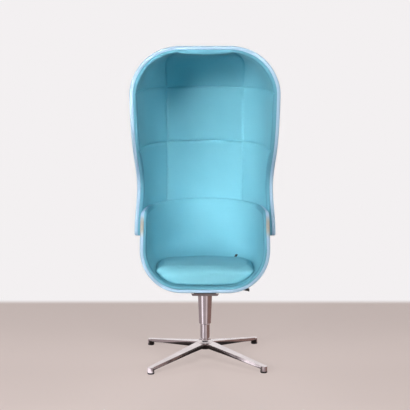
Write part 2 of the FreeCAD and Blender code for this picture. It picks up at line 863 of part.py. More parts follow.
def make_lift_housing():
    """The box under the tub: flanged top, screw lugs, lever slot and the pin's two ears."""
    under_top_z = tub_base_z - housing_top
    outline = rounded_plan(housing_half_width, housing_half_depth, housing_corner_radius,
                           plate_high_z)
    box = Part.Face(outline).extrude(Vector(0, 0, under_top_z - plate_high_z))
    inside = block(housing_half_width - housing_wall, housing_half_depth - housing_wall,
                   plate_high_z - overrun, under_top_z)
    flange = rounded_plan(housing_half_width + housing_flange_width, housing_half_depth,
                          housing_corner_radius, under_top_z)
    housing = box.cut(inside).fuse(Part.Face(flange).extrude(Vector(0, 0, housing_top)))
    for x, y in corner_places(plate_screw_spacing_x, plate_screw_spacing_y):
        lug = cylinder(housing_lug_radius, plate_high_z, plate_high_z + housing_lug_height, x, y)
        side = 1 if y > 0 else -1
        web_y = (abs(y) + housing_half_depth) / 2
        web = block(housing_lug_radius, (housing_half_depth - abs(y)) / 2, plate_high_z,
                    plate_high_z + housing_lug_height, x, side * web_y)
        housing = housing.fuse(lug).fuse(web.common(box))
    for x, y in corner_places(plate_screw_spacing_x, plate_screw_spacing_y):
        housing = housing.cut(cylinder(plate_screw_radius + running_gap, plate_low_z,
                                       screw_tip_z + cloth_gap, x, y))
    ear_y = lever_half_width + lever_side_gap + lever_ear_wall / 2
    for side in (-1, 1):
        housing = housing.fuse(block(lever_ear_half_depth, lever_ear_wall / 2,
                                     lever_pivot_z - lever_ear_below, under_top_z,
                                     lever_pivot_x, side * ear_y))
    pin_hole = along_y(lever_pin_radius + running_gap, pin_half_length, lever_pivot_x,
                       lever_pivot_z)
    slot = block(housing_wall, lever_slot_half_width, lever_pivot_z - lever_slot_half_height,
                 lever_pivot_z + lever_slot_half_height, housing_half_width, 0)
    housing = housing.cut(pin_hole).cut(slot)
    for x, y in corner_places(bolt_spacing_x, bolt_spacing_y):
        housing = housing.cut(cylinder(bolt_radius + hole_gap, plate_low_z,
                                       tub_base_z + overrun, x, y))
    return housing.removeSplitter()


tnut_high_z = tub_base_z + tub_shell_wall


def make_seat_bolts():
    """Four hexagon bolts from the housing's flange up into the tub's floor."""
    under_top_z = tub_base_z - housing_top
    bolts = []
    for x, y in corner_places(bolt_spacing_x, bolt_spacing_y):
        head = hexagon(bolt_head_radius, under_top_z - bolt_head_height, under_top_z, x, y)
        bolts.append(head.fuse(cylinder(bolt_radius, under_top_z, tnut_high_z - cloth_gap, x, y)))
    return Part.makeCompound(bolts)


def make_seat_tnuts():
    """Four flanged nuts let into the tub's floor."""
    nuts = []
    for x, y in corner_places(bolt_spacing_x, bolt_spacing_y):
        flange = cylinder(tnut_flange_radius, tnut_high_z - tnut_flange_height, tnut_high_z, x, y)
        barrel = cylinder(tnut_barrel_radius, tnut_high_z - tnut_barrel_height, tnut_high_z, x, y)
        bore = cylinder(bolt_radius + running_gap, tub_base_z, tnut_high_z + overrun, x, y)
        nuts.append(flange.fuse(barrel).cut(bore))
    return Part.makeCompound(nuts)


def tub_floor_holes():
    """The bolt holes and nut recesses in the tub's floor."""
    holes = []
    for x, y in corner_places(bolt_spacing_x, bolt_spacing_y):
        holes.append(cylinder(bolt_radius + hole_gap, plate_low_z, tnut_high_z, x, y))
        holes.append(cylinder(tnut_barrel_radius + running_gap, tnut_high_z - tnut_barrel_height,
                              tnut_high_z, x, y))
        holes.append(cylinder(tnut_flange_radius + running_gap, tnut_high_z - tnut_flange_height,
                              tub_floor_z, x, y))
    return Part.makeCompound(holes)


# Height lever

lever_slope = math.radians(lever_droop_deg)
lever_direction = Vector(math.cos(lever_slope), 0, -math.sin(lever_slope))
lever_pivot = Vector(lever_pivot_x, 0, lever_pivot_z)
lever_length = (lever_end_x - lever_pivot_x) / math.cos(lever_slope)


def along_lever(radius, start, end):
    """A round bar along the lever, between two distances from its pivot."""
    return Part.makeCylinder(radius, end - start, lever_pivot + lever_direction * start,
                             lever_direction)


def make_lever_arm():
    """The lever: pivot boss, nose over the valve pin and a round rod to the grip."""
    boss = along_y(lever_boss_radius, lever_half_width, lever_pivot_x, lever_pivot_z)
    nose_low_z = valve_pin_high_z + cloth_gap
    nose = block((lever_pivot_x + lever_nose_reach) / 2, lever_half_width, nose_low_z,
                 nose_low_z + lever_nose_height, (lever_pivot_x - lever_nose_reach) / 2, 0)
    lever = boss.fuse([nose, along_lever(lever_rod_radius, 0, lever_length - grip_end_wall)])
    pin_hole = along_y(lever_pin_radius + running_gap, pin_half_length, lever_pivot_x,
                       lever_pivot_z)
    return lever.cut(pin_hole)


def make_lever_grip():
    """The moulded grip over the lever's end."""
    grip = along_lever(grip_radius, lever_length - grip_length, lever_length)
    end = lever_pivot + lever_direction * lever_length
    edges = [edge for edge in grip.Edges if is_on(edge, lambda p: (p - end).Length < grip_length / 2)]
    grip = grip.makeFillet(grip_end_radius, edges)
    return grip.cut(along_lever(lever_rod_radius + running_gap, 0, lever_length - grip_end_wall))


def make_lever_pin():
    """The lever's pivot pin."""
    return along_y(lever_pin_radius, pin_half_length, lever_pivot_x, lever_pivot_z)


# Cast base and glides

def arm_top_z(x):
    """The height of an arm's flat top at a distance from the column."""
    return arm_hub_top_z + x / foot_circle_radius * (foot_top_z - arm_hub_top_z)


def arm_wire(x, top_z, low_z, top_half, low_half):
    """An arm's section, square to its length."""
    points = [Vector(x, -top_half, top_z), Vector(x, top_half, top_z),
              Vector(x, low_half, low_z), Vector(x, -low_half, low_z)]
    points.append(points[0])
    return Part.makePolygon(points)


def arm_loft(start, end, drop, half_width, half_low_width, low_z):
    """An arm-long ruled solid whose sizes are functions of the distance from the column."""
    sections = []
    for x in (start, end):
        sections.append(arm_wire(x, arm_top_z(x) - drop, low_z(x), half_width(x),
                                 half_low_width(x)))
    return Part.makeLoft(sections, True, True)


def arm_share(x, at_hub, at_foot):
    """A size that changes evenly from the column to the foot."""
    return at_hub + x / foot_circle_radius * (at_foot - at_hub)


def make_arm():
    """One arm: flat top, drafted skirts, an open underside and a deep middle rib."""
    def half(x):
        return arm_share(x, arm_hub_width, arm_foot_width) / 2

    def skirt_z(x):
        return arm_top_z(x) - arm_share(x, arm_hub_depth, arm_foot_depth)

    end = foot_circle_radius
    skin = arm_loft(0, end, 0, half, lambda x: half(x) + arm_draft, skirt_z)
    hollow = arm_loft(hub_radius - arm_wall, end - foot_boss_radius + arm_wall, arm_wall,
                      lambda x: half(x) - arm_wall, lambda x: half(x) + arm_draft - arm_wall,
                      lambda x: skirt_z(x) - overrun)
    rib = arm_loft(0, end, arm_wall / 2, lambda x: arm_rib_width / 2, lambda x: arm_rib_width / 2,
                   lambda x: arm_share(x, arm_rib_hub_z, arm_rib_foot_z))
    return skin.cut(hollow).fuse(rib)


def make_hub():
    """The base's middle: boss, shoulder and a collar that flares into the stand tube."""
    bore = stand_tube_radius + running_gap
    collar = bore + hub_collar_wall
    flare_z = arm_hub_top_z + hub_flare_radius
    collar_z = flare_z + hub_collar_height
    flare_end = Vector(collar + hub_flare_radius, 0, arm_hub_top_z)
    flare_start = Vector(collar, 0, flare_z)
    shrink = hub_flare_radius * (1 - math.sqrt(0.5))
    points = [flare_end, Vector(hub_radius, 0, arm_hub_top_z - hub_shoulder),
              Vector(hub_radius, 0, hub_low_z), Vector(hub_boss_radius, 0, hub_low_z),
              Vector(hub_boss_radius, 0, hub_boss_low_z),
              Vector(stand_tube_radius - hub_lip_width, 0, hub_boss_low_z),
              Vector(stand_tube_radius - hub_lip_width, 0, stand_tube_low_z),
              Vector(bore, 0, stand_tube_low_z), Vector(bore, 0, collar_z),
              Vector(collar, 0, collar_z), flare_start]
    middle = Vector(collar + shrink, 0, arm_hub_top_z + shrink)
    edges = [Part.makeLine(first, second) for first, second in zip(points, points[1:])]
    edges.append(Part.Arc(flare_start, middle, flare_end).toShape())
    return turned_wire(Part.Wire(edges))


def foot_angles():
    """The direction of each arm."""
    turn = 360 / arm_count
    return [base_turn_deg + turn * (index + 0.5) for index in range(arm_count)]


def make_star_base():
    """The one-piece cast base with its four arms and foot bosses."""
    boss = cylinder(foot_boss_radius, glide_height, foot_top_z, foot_circle_radius, 0)
    edges = [edge for edge in boss.Edges if is_on(edge, lambda p: p.z > foot_top_z - running_gap)]
    boss = boss.makeFillet(foot_edge_radius, edges)
    arm = make_arm().fuse(boss)
    arms = []
    for degrees in foot_angles():
        turned_arm = arm.copy()
        turned_arm.rotate(Vector(0, 0, 0), axis_z, degrees)
        arms.append(turned_arm)
    base = make_hub().fuse(arms)
    base = base.cut(cylinder(stand_tube_radius + running_gap, stand_tube_low_z, overall_height))
    base = base.cut(cylinder(stand_tube_radius - hub_lip_width, 0, stand_tube_low_z))
    for degrees in foot_angles():
        socket = cylinder(glide_stem_radius + running_gap, 0,
                          glide_height + glide_stem_length, foot_circle_radius, 0)
        socket.rotate(Vector(0, 0, 0), axis_z, degrees)
        base = base.cut(socket)
    return base.removeSplitter()


def make_glide(degrees):
    """One glide, its stem up inside the foot boss."""
    foot = cylinder(glide_radius, 0, glide_height, foot_circle_radius, 0)
    edges = [edge for edge in foot.Edges if is_on(edge, lambda p: p.z < running_gap)]
    foot = foot.makeChamfer(glide_chamfer, edges)
    stem = cylinder(glide_stem_radius, glide_height, glide_height + glide_stem_length - cloth_gap,
                    foot_circle_radius, 0)
    glide = foot.fuse(stem)
    glide.rotate(Vector(0, 0, 0), axis_z, degrees)
    return glide


# The chair

def make_chair():
    """Every piece by its name."""
    nodes, tub_holes, hood_holes = make_fixings()
    nodes["star_base"] = make_star_base()
    names = ["glide_rear_right", "glide_rear_left", "glide_front_left", "glide_front_right"]
    for name, degrees in zip(names, foot_angles()):
        nodes[name] = make_glide(degrees)
    nodes["stand_tube"] = make_stand_tube()
    nodes["guide_bush"] = make_guide_bush()
    nodes["lower_washer"] = washer(floor_top_z, washer_height)
    nodes["thrust_washer"] = washer(thrust_low_z, thrust_washer_height)
    nodes["upper_washer"] = washer(thrust_high_z + running_gap, washer_height)
    nodes["piston_rod"] = make_piston_rod()
    nodes["rod_clip"] = make_rod_clip()
    nodes["bump_buffer"] = ring(rod_radius + running_gap, buffer_radius, collar_high_z,
                                collar_high_z + buffer_height)
    nodes["piston_head"] = make_piston_head()
    nodes["piston_seal"] = make_piston_seal()
    nodes["piston_nut"] = make_piston_nut()
    nodes["lift_tube"] = make_lift_tube()
    nodes["lift_gland"] = make_lift_gland()
    nodes["valve_pin"] = make_valve_pin()
    nodes["cover_sleeve"] = make_cover_sleeve()
    nodes["mount_plate"] = make_mount_plate()
    nodes["plate_screws"] = make_plate_screws()
    nodes["lift_housing"] = make_lift_housing()
    nodes["seat_bolts"] = make_seat_bolts()
    nodes["seat_tnuts"] = make_seat_tnuts()
    nodes["lever_arm"] = make_lever_arm()
    nodes["lever_grip"] = make_lever_grip()
    nodes["lever_pin"] = make_lever_pin()
    nodes["tub_shell"] = make_tub_shell(tub_holes).cut(tub_floor_holes())
    nodes["tub_liner"] = make_tub_liner()
    nodes["hook_tapes"] = make_hook_tapes()
    nodes["seat_cushion"] = make_seat_cushion()
    nodes["cushion_tab"] = make_cushion_tab(nodes["seat_cushion"])
    nodes["hood_shell"] = make_hood_shell(hood_holes)
    nodes["hood_liner"] = make_hood_liner()
    return nodes


if __name__ == "__main__":
    os.makedirs("parts", exist_ok=True)
    for name, shape in make_chair().items():
        print(name, shape.isValid(), len(shape.Solids), round(shape.Volume))
        shape.exportStep(f"parts/{name}.step")
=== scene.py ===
"""Dresses the hooded swivel lounge chair: upholstery, cushion, metalwork and a plain studio."""
from __future__ import annotations

import logging
import math
from dataclasses import dataclass
from enum import Enum
from functools import cache
from typing import Callable, ClassVar, Sequence

import bpy
import numpy as np
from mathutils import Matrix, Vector
from mathutils.kdtree import KDTree


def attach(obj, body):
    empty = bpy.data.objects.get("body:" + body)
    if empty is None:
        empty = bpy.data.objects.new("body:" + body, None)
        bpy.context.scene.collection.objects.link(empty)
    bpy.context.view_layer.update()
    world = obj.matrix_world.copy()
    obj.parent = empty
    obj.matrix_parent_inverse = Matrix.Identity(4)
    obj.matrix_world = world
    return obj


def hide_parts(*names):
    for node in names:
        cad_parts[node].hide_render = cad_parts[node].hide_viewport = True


Array = np.ndarray
Colour = tuple[float, float, float, float]
Place = tuple[float, float, float]
Piece = bpy.types.Object
Socket = bpy.types.NodeSocket

log = logging.getLogger("chair")
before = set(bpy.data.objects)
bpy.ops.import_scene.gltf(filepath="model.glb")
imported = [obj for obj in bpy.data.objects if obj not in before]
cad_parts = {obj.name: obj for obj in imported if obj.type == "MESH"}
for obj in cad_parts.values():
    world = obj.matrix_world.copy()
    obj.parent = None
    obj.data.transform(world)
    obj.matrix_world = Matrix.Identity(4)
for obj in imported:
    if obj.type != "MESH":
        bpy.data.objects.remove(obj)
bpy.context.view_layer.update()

MM = 0.001
LEVEL_SHARE = 0.72


class Body(Enum):
    """The bodies that new pieces ride on."""

    SEAT = "seat"
    LEVER = "lever"


class Slot(Enum):
    """Material slots of the record, and the base's polished finish with its band of painted shade."""

    SHELL_FABRIC = "shell_fabric"
    PAD_FABRIC = "pad_fabric"
    BLACK_WEBBING = "black_webbing"
    POLISHED_ALUMINIUM = "polished_aluminium"
    COATED_CASTING = "coated_casting"
    POLISHED_TUBE = "polished_tube"
    CHROME_ROD = "chrome_rod"
    ZINC_STEEL = "zinc_steel"
    BLACK_STEEL = "black_steel"
    BLACK_NYLON = "black_nylon"
    PALE_NYLON = "pale_nylon"
    BLACK_RUBBER = "black_rubber"


def linear(red: float, green: float, blue: float) -> Colour:
    """A display colour as a linear colour with full alpha.

    Args:
        red: red of 0 to 255.
        green: green of 0 to 255.
        blue: blue of 0 to 255.

    Returns:
        The linear colour.
    """
    shares = [value / 255 for value in (red, green, blue)]
    channels = [share / 12.92 if share <= 0.04045 else ((share + 0.055) / 1.055) ** 2.4
                for share in shares]
    return (*channels, 1.0)


# Shader nodes


class NodeTree:
    """Adds and links the nodes of a material, a world or a group."""

    def __init__(self, tree: bpy.types.NodeTree) -> None:
        """Keeps the tree."""
        self.tree = tree

    def feed(self, target: Socket, value: Socket | float | Sequence[float]) -> None:
        """Links an input to a socket, or sets its value.

        Args:
            target: the input.
            value: a socket, or a plain value.
        """
        if isinstance(value, Socket):
            self.tree.links.new(value, target)
        else:
            target.default_value = value

    def add(self, kind: str, values: dict | None = None, **settings) -> bpy.types.Node:
        """Adds a node.

        Args:
            kind: the node's type, without its ShaderNode prefix.
            values: sockets or plain values by the input's name or number.
            settings: properties of the node itself.

        Returns:
            The new node.
        """
        node = self.tree.nodes.new("ShaderNode" + kind)
        for key, value in settings.items():
            setattr(node, key, value)
        for key, value in (values or {}).items():
            self.feed(node.inputs[key], value)
        return node

    def math(self, operation: str, *operands: Socket | float) -> Socket:
        """The result of a Math node."""
        return self.add("Math", dict(enumerate(operands)), operation=operation).outputs[0]

    def remap(self, value: Socket, low: float, high: float, to_low: float = 1.0,
              to_high: float = 0.0) -> Socket:
        """Maps one range of a value to another with a smooth step, or to a mask that fades out."""
        values = {0: value, 1: low, 2: high, 3: to_low, 4: to_high}
        return self.add("MapRange", values, interpolation_type="SMOOTHSTEP").outputs[0]

    def mix(self, share: Socket | float, first: Socket | Colour, second: Socket | Colour) -> Socket:
        """Mixes a second colour into the first."""
        return self.add("Mix", {0: share, 6: first, 7: second}, data_type="RGBA").outputs[2]

    def mix_shaders(self, share: Socket, first: Socket, second: Socket) -> Socket:
        """Mixes a second shader into the first."""
        return self.add("MixShader", {0: share, 1: first, 2: second}).outputs[0]

    def emission(self, colour: Socket | Colour) -> Socket:
        """A shader that shines in a plain colour."""
        return self.add("Emission", {0: colour, 1: 1.0}).outputs[0]

    def axes(self, vector: Socket) -> Sequence[Socket]:
        """The X, Y and Z of a vector."""
        return self.add("SeparateXYZ", {0: vector}).outputs

    def reach(self, axes: Sequence[Socket]) -> Socket:
        """How far a place is from the column's axis."""
        across = self.math("MULTIPLY", axes[0], axes[0])
        return self.math("SQRT", self.math("MULTIPLY_ADD", axes[1], axes[1], across))

    def noise(self, vector: Socket, scale: float, detail: float, rough: float = 0.5) -> Socket:
        """The value of a noise texture."""
        values = {"Vector": vector, "Scale": scale, "Detail": detail, "Roughness": rough}
        return self.add("TexNoise", values).outputs["Fac"]

    def bump(self, height: Socket, strength: float, distance: float) -> Socket:
        """The normal of a relief."""
        values = {"Height": height, "Strength": strength, "Distance": distance}
        return self.add("Bump", values).outputs[0]

    def group(self, group: bpy.types.NodeTree, vector: Socket, **values) -> Sequence[Socket]:
        """Places a shared group and returns its outputs."""
        return self.add("Group", {"Vector": vector, **values}, node_tree=group).outputs


def new_group(name: str, inputs: dict[str, str],
              outputs: Sequence[str]) -> tuple[NodeTree, Sequence[Socket], Sequence[Socket]]:
    """Makes a shader node group with named sockets.

    Args:
        name: the group's name.
        inputs: the types of its inputs by name.
        outputs: names of its outputs, which are numbers.

    Returns:
        The group's tree, its inputs by name and its outputs by name.
    """
    tree = bpy.data.node_groups.new(name, "ShaderNodeTree")
    for direction, sockets in (("INPUT", inputs), ("OUTPUT", dict.fromkeys(outputs, "Float"))):
        for label, kind in sockets.items():
            tree.interface.new_socket(name=label, in_out=direction, socket_type="NodeSocket" + kind)
    given = tree.nodes.new("NodeGroupInput").outputs
    return NodeTree(tree), given, tree.nodes.new("NodeGroupOutput").inputs


@cache
def weave_group() -> bpy.types.NodeTree:
    """A plain weave: a height, and a tint that lightens and darkens single threads.

    Returns:
        The group, made once.
    """
    nodes, given, out = new_group("woven_cloth", {"Vector": "Vector", "Threads": "Float"},
                                  ("Height", "Tint"))
    scaled = nodes.add("VectorMath", {0: given["Vector"], "Scale": given["Threads"]},
                       operation="SCALE").outputs[0]
    waves = [nodes.math("SINE", nodes.math("MULTIPLY", axis, math.pi))
             for axis in nodes.axes(scaled)[:2]]
    threads = nodes.math("MULTIPLY_ADD", nodes.math("MULTIPLY", *waves), 0.5, 0.5)
    fuzz = nodes.noise(scaled, 1.7, 2.0, 0.6)
    nodes.feed(out["Height"], nodes.math("MULTIPLY_ADD", fuzz, 0.9, threads))
    nodes.feed(out["Tint"], nodes.noise(scaled, 0.45, 3.0, 0.55))
    return nodes.tree


@cache
def patina_group() -> bpy.types.NodeTree:
    """Broad, faint blotches of use: a mask that varies slowly over the surface.

    Returns:
        The group, made once.
    """
    nodes, given, out = new_group("patina", {"Vector": "Vector", "Size": "Float"}, ("Mask",))
    scaled = nodes.add("VectorMath", {0: given["Vector"], 1: given["Size"]}, operation="DIVIDE")
    noise = nodes.noise(scaled.outputs[0], 1.0, 4.0, 0.62)
    nodes.feed(out["Mask"], nodes.remap(noise, 0.3, 0.7, 0.0, 1.0))
    return nodes.tree


@cache
def spot_group() -> bpy.types.NodeTree:
    """A soft round spot, mirrored across the chair: a mask of 1 at its centre.

    Returns:
        The group, made once.
    """
    nodes, given, out = new_group(
        "mirrored_spot", {"Vector": "Vector", "Centre": "Vector", "Radius": "Float"}, ("Mask",))
    x, y, z = nodes.axes(given["Vector"])
    folded = nodes.add("CombineXYZ", {0: nodes.math("ABSOLUTE", x), 1: y, 2: z}).outputs[0]
    distance = nodes.add("VectorMath", {0: folded, 1: given["Centre"]}, operation="DISTANCE")
    share = nodes.math("DIVIDE", distance.outputs["Value"], given["Radius"])
    nodes.feed(out["Mask"], nodes.remap(share, 0.2, 1.0))
    return nodes.tree


class Surface(NodeTree):
    """The nodes of a new material, with its shader's inputs and its coordinates."""

    def __init__(self, name: str) -> None:
        """Starts the material.

        Args:
            name: the material's name.
        """
        self.material = bpy.data.materials.new(name)
        self.material.use_nodes = True
        super().__init__(self.material.node_tree)
        self.shader = self.tree.nodes["Principled BSDF"]
        self.places = self.add("TexCoord").outputs

    def paint(self, values: dict) -> None:
        """Feeds inputs of the shader by their names."""
        for name, value in values.items():
            self.feed(self.shader.inputs[name], value)

    def source(self, name: str) -> Socket:
        """What feeds an input of the shader."""
        return self.shader.inputs[name].links[0].from_socket


# Finishes


@dataclass(frozen=True)
class Finish:
    """A finish.

    Args:
        name: the material's name.
        colour: its main colour.
    """

    name: str
    colour: Colour

    def surface(self) -> Surface:
        """The nodes of the finish."""
        raise NotImplementedError


@dataclass(frozen=True)
class Cloth(Finish):
    """Fine woven wool upholstery.

    Args:
        shade: the colour of darker threads.
        soiled: whether the rims have pale soiled spots.
    """

    shade: Colour
    soiled: bool = False
    threads: float = 1050.0
    relief: float = 0.35 * MM
    patina_size: float = 0.11
    # hem is painted shade: a darker colour along the lining's front edges, where the rounded rim
    # turns away from the light.
    hem: Colour = linear(104, 168, 190)
    soil: Colour = linear(192, 172, 136)
    soil_centre: Place = (0.277, -0.215, 0.640)
    soil_radius: float = 0.060

    def surface(self) -> Surface:
        """The weave with its patina, painted shade along its turned hem and its soiled spots.

        Returns:
            The nodes of the finish.
        """
        surface = Surface(self.name)
        places = surface.places
        weave = surface.group(weave_group(), places["UV"], Threads=self.threads)
        patina = surface.group(patina_group(), places["Object"], Size=self.patina_size)["Mask"]
        tint = surface.remap(weave["Tint"], 0.3, 0.7, 0.0, 0.5)
        colour = surface.mix(tint, self.colour, self.shade)
        colour = surface.mix(surface.math("MULTIPLY", patina, 0.16), colour, self.shade)
        # Painted shade: the lining darkens along the turned hem of its front edges.
        turned = surface.add("Attribute", attribute_name="hem").outputs["Fac"]
        colour = surface.mix(surface.math("MULTIPLY", turned, 0.9), colour, self.hem)
        if self.soiled:
            spot = surface.group(spot_group(), places["Object"], Centre=self.soil_centre,
                                 Radius=self.soil_radius)["Mask"]
            worn = surface.math("MULTIPLY", spot, surface.remap(patina, 0.0, 1.0, 0.7, 0.95))
            colour = surface.mix(worn, colour, self.soil)
        surface.paint({
            "Base Color": colour,
            "Roughness": surface.remap(weave["Height"], 0.0, 1.4, 0.95, 0.8),
            "Specular IOR Level": 0.08,
            "Sheen Weight": 0.04,
            "Sheen Roughness": 0.4,
            "Normal": surface.bump(weave["Height"], 0.6, self.relief),
        })
        return surface


@dataclass(frozen=True)
class Metal(Finish):
    """Bare, polished or plated metal with faint smears and grain.

    Args:
        rough_low: roughness where it is cleanest.
        rough_high: roughness where it is smeared.
    """

    rough_low: float
    rough_high: float
    dulling: float = 0.86
    smear_size: float = 0.05
    grain: float = 420.0
    relief: float = 0.03 * MM

    def surface(self) -> Surface:
        """The metal with its smears and its grain.

        Returns:
            The nodes of the finish.
        """
        surface = Surface(self.name)
        place = surface.places["Object"]
        smears = surface.group(patina_group(), place, Size=self.smear_size)["Mask"]
        dulled = (*(self.dulling * channel for channel in self.colour[:3]), 1.0)
        surface.paint({
            "Base Color": surface.mix(smears, self.colour, dulled),
            "Roughness": surface.remap(smears, 0.0, 1.0, self.rough_low, self.rough_high),
            "Metallic": 1.0,
            "Normal": surface.bump(surface.noise(place, self.grain, 2.0), 0.25, self.relief),
        })
        return surface


@dataclass(frozen=True)
class ShadeBandCasting(Metal):
    """A polished casting with a dark band of painted shade on its lower flanks and underside,
    standing in for the shadow and dark reflection under the arms.
    """

    coat: Colour = linear(36, 27, 25)
    shade_band_rough: float = 0.4
    hub_line: float = 0.0710
    foot_line: float = 0.0225
    reach: float = 0.345
    end_blur: float = 2.0 * MM
    blur: float = 0.5 * MM

    def surface(self) -> Surface:
        """The polished metal with painted shade below a line that falls towards the feet.

        Returns:
            The nodes of the finish.
        """
        surface = super().surface()
        axes = surface.axes(surface.places["Object"])
        out = surface.reach(axes)
        line = surface.remap(out, 0.0, self.reach, self.hub_line, self.foot_line)
        below = surface.remap(surface.math("SUBTRACT", axes[2], line), -self.blur, self.blur)
        within = surface.remap(out, self.reach - self.end_blur, self.reach + self.end_blur)
        # Painted shade: below the line the metal turns dark, rough and unmetallic, in place of the
        # shadow and dark reflection on the lower flanks.
        shade_band = surface.math("MULTIPLY", below, within)
        rough = surface.math("MULTIPLY_ADD", shade_band, self.shade_band_rough, surface.source("Roughness"))
        surface.paint({
            "Base Color": surface.mix(shade_band, surface.source("Base Color"), self.coat),
            "Roughness": rough,
            "Metallic": surface.math("SUBTRACT", 1.0, shade_band),
        })
        return surface


@dataclass(frozen=True)
class Moulded(Finish):
    """Moulded plastic, rubber or powder-coated steel with a fine pebble.

    Args:
        rough: roughness where it is clean.
    """

    rough: float
    dust: float = 0.03
    dust_rough: float = 0.15
    dust_size: float = 0.03
    pebble: float = 900.0
    relief: float = 0.08 * MM

    def surface(self) -> Surface:
        """The moulding with its dust and its pebble.

        Returns:
            The nodes of the finish.
        """
        surface = Surface(self.name)
        place = surface.places["Object"]
        dust = surface.group(patina_group(), place, Size=self.dust_size)["Mask"]
        pale = (*(channel + self.dust for channel in self.colour[:3]), 1.0)
        surface.paint({
            "Base Color": surface.mix(dust, self.colour, pale),
            "Roughness": surface.remap(dust, 0.0, 1.0, self.rough, self.rough + self.dust_rough),
            "Normal": surface.bump(surface.noise(place, self.pebble, 1.0), 0.4, self.relief),
        })
        return surface


FINISHES = {
    Slot.SHELL_FABRIC: Cloth("light_blue_wool", linear(182, 211, 232), linear(166, 198, 225), True),
    Slot.PAD_FABRIC: Cloth("teal_wool", linear(136, 203, 218), linear(116, 189, 207)),
    Slot.BLACK_WEBBING: Moulded("black_webbing", linear(28, 28, 32), 0.8),
    Slot.POLISHED_ALUMINIUM: Metal("polished_sleeve", linear(238, 231, 232), 0.07, 0.13),
    # The base's casting has a painted shade band on its lower flanks.
    Slot.COATED_CASTING: ShadeBandCasting("polished_casting", linear(238, 230, 230), 0.08, 0.15),
    Slot.POLISHED_TUBE: Metal("polished_tube", linear(234, 228, 229), 0.06, 0.11),
    Slot.CHROME_ROD: Metal("hard_chrome", linear(215, 215, 215), 0.06, 0.12),
    Slot.ZINC_STEEL: Metal("zinc_plate", linear(176, 178, 180), 0.32, 0.45),
    Slot.BLACK_STEEL: Moulded("black_powder_coat", linear(30, 30, 32), 0.5),
    Slot.BLACK_NYLON: Moulded("black_nylon", linear(30, 29, 29), 0.4),
    Slot.PALE_NYLON: Moulded("pale_nylon", linear(226, 222, 210), 0.4),
    Slot.BLACK_RUBBER: Moulded("black_rubber", linear(26, 26, 26), 0.7),
}


@cache
def material_of(slot: Slot) -> bpy.types.Material:
    """The material of a slot, made once."""
    return FINISHES[slot].surface().material


# Editing helpers


def deselect_all() -> None:
    """Leaves edit mode and deselects every object."""
    if bpy.context.object and bpy.context.object.mode != "OBJECT":
        bpy.ops.object.mode_set(mode="OBJECT")
    bpy.ops.object.select_all(action="DESELECT")


def focus(*pieces: Piece) -> None:
    """Selects pieces.

    Args:
        pieces: the pieces, of which the first one becomes active.
    """
    deselect_all()
    for piece in pieces:
        piece.select_set(True)
    bpy.context.view_layer.objects.active = pieces[0]


def read(items: bpy.types.bpy_prop_collection, name: str, width: int = 3,
         kind: type = float) -> Array:
    """One property of many mesh elements.

    Args:
        items: the elements.
        name: the property's name.
        width: how many numbers it has.
        kind: float or int.

    Returns:
        The values as an array.
    """
    flat = np.empty(len(items) * width, kind)
    items.foreach_get(name, flat)
    return flat.reshape(-1, width) if width > 1 else flat


def points_of(piece: Piece) -> Array:
    """The vertices of a piece."""
    return read(piece.data.vertices, "co")


def move_points(piece: Piece, points: Array) -> None:
    """Moves the vertices of a piece to new places."""
    piece.data.vertices.foreach_set("co", points.reshape(-1))
    piece.data.update()


def modify(piece: Piece, kind: str, **settings) -> None:
    """Adds a modifier.

    Args:
        piece: the piece.
        kind: the modifier's type.
        settings: its settings.
    """
    modifier = piece.modifiers.new(kind.lower(), kind)
    for key, value in settings.items():
        setattr(modifier, key, value)


def apply_modifiers(piece: Piece) -> None:
    """Applies every modifier of a piece.

    Args:
        piece: the piece.
    """
    focus(piece)
    for modifier in list(piece.modifiers):
        bpy.ops.object.modifier_apply(modifier=modifier.name)


def subdivide_surface(piece: Piece) -> None:
    """Rounds a piece with one level of subdivision surface."""
    modify(piece, "SUBSURF", levels=1, render_levels=1)
    apply_modifiers(piece)


def edit(piece: Piece, operator: Callable, edges: Sequence[int] | None = None, **settings) -> None:
    """Runs a mesh operator on a whole piece, or on some of its edges.

    Args:
        piece: the piece to edit.
        operator: the mesh operator.
        edges: numbers of the edges, or None for the whole piece.
        settings: the operator's settings.
    """
    focus(piece)
    bpy.ops.object.mode_set(mode="EDIT")
    bpy.ops.mesh.select_mode(type="VERT" if edges is None else "EDGE")
    bpy.ops.mesh.select_all(action="SELECT" if edges is None else "DESELECT")
    bpy.ops.object.mode_set(mode="OBJECT")
    for index in edges or ():
        piece.data.edges[index].select = True
    bpy.ops.object.mode_set(mode="EDIT")
    operator(**settings)
    bpy.ops.object.mode_set(mode="OBJECT")


def dress(piece: Piece, slot: Slot, body: Body, node: str) -> None:
    """Gives a finished piece the material of its slot and its body, and hides the CAD node that it
    stands for.

    Args:
        piece: the finished piece.
        slot: the record's slot.
        body: the body that it rides on.
        node: the CAD node that it stands for.
    """
    piece.data.materials.clear()
    piece.data.materials.append(material_of(slot))
    for polygon in piece.data.polygons:
        polygon.use_smooth = True
    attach(piece, body.value)
    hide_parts(node)
    log.info("%s: %d faces", piece.name, len(piece.data.polygons))


def lay_uv(piece: Piece, views: Sequence[Array] | None = None) -> None:
    """Gives each face its place in one of three flat views, by the way that it faces.

    Args:
        piece: the piece.
        views: places of every vertex for faces that look along Z, Y and X, or None for its own.
    """
    mesh = piece.data
    if views is None:
        points = points_of(piece)
        views = (points[:, :2], points[:, ::2], points[:, 1:])
    facing = np.abs(read(mesh.polygons, "normal"))
    level = facing[:, 2] > LEVEL_SHARE
    kind = np.where(level, 0, np.where(facing[:, 1] > facing[:, 0], 1, 2))
    kind = np.repeat(kind, read(mesh.polygons, "loop_total", 1, int))
    chosen = np.stack(views)[kind, read(mesh.loops, "vertex_index", 1, int)]
    while mesh.uv_layers:
        mesh.uv_layers.remove(mesh.uv_layers[0])
    mesh.uv_layers.new(name="grain").data.foreach_set("uv", chosen.reshape(-1))


# Studio


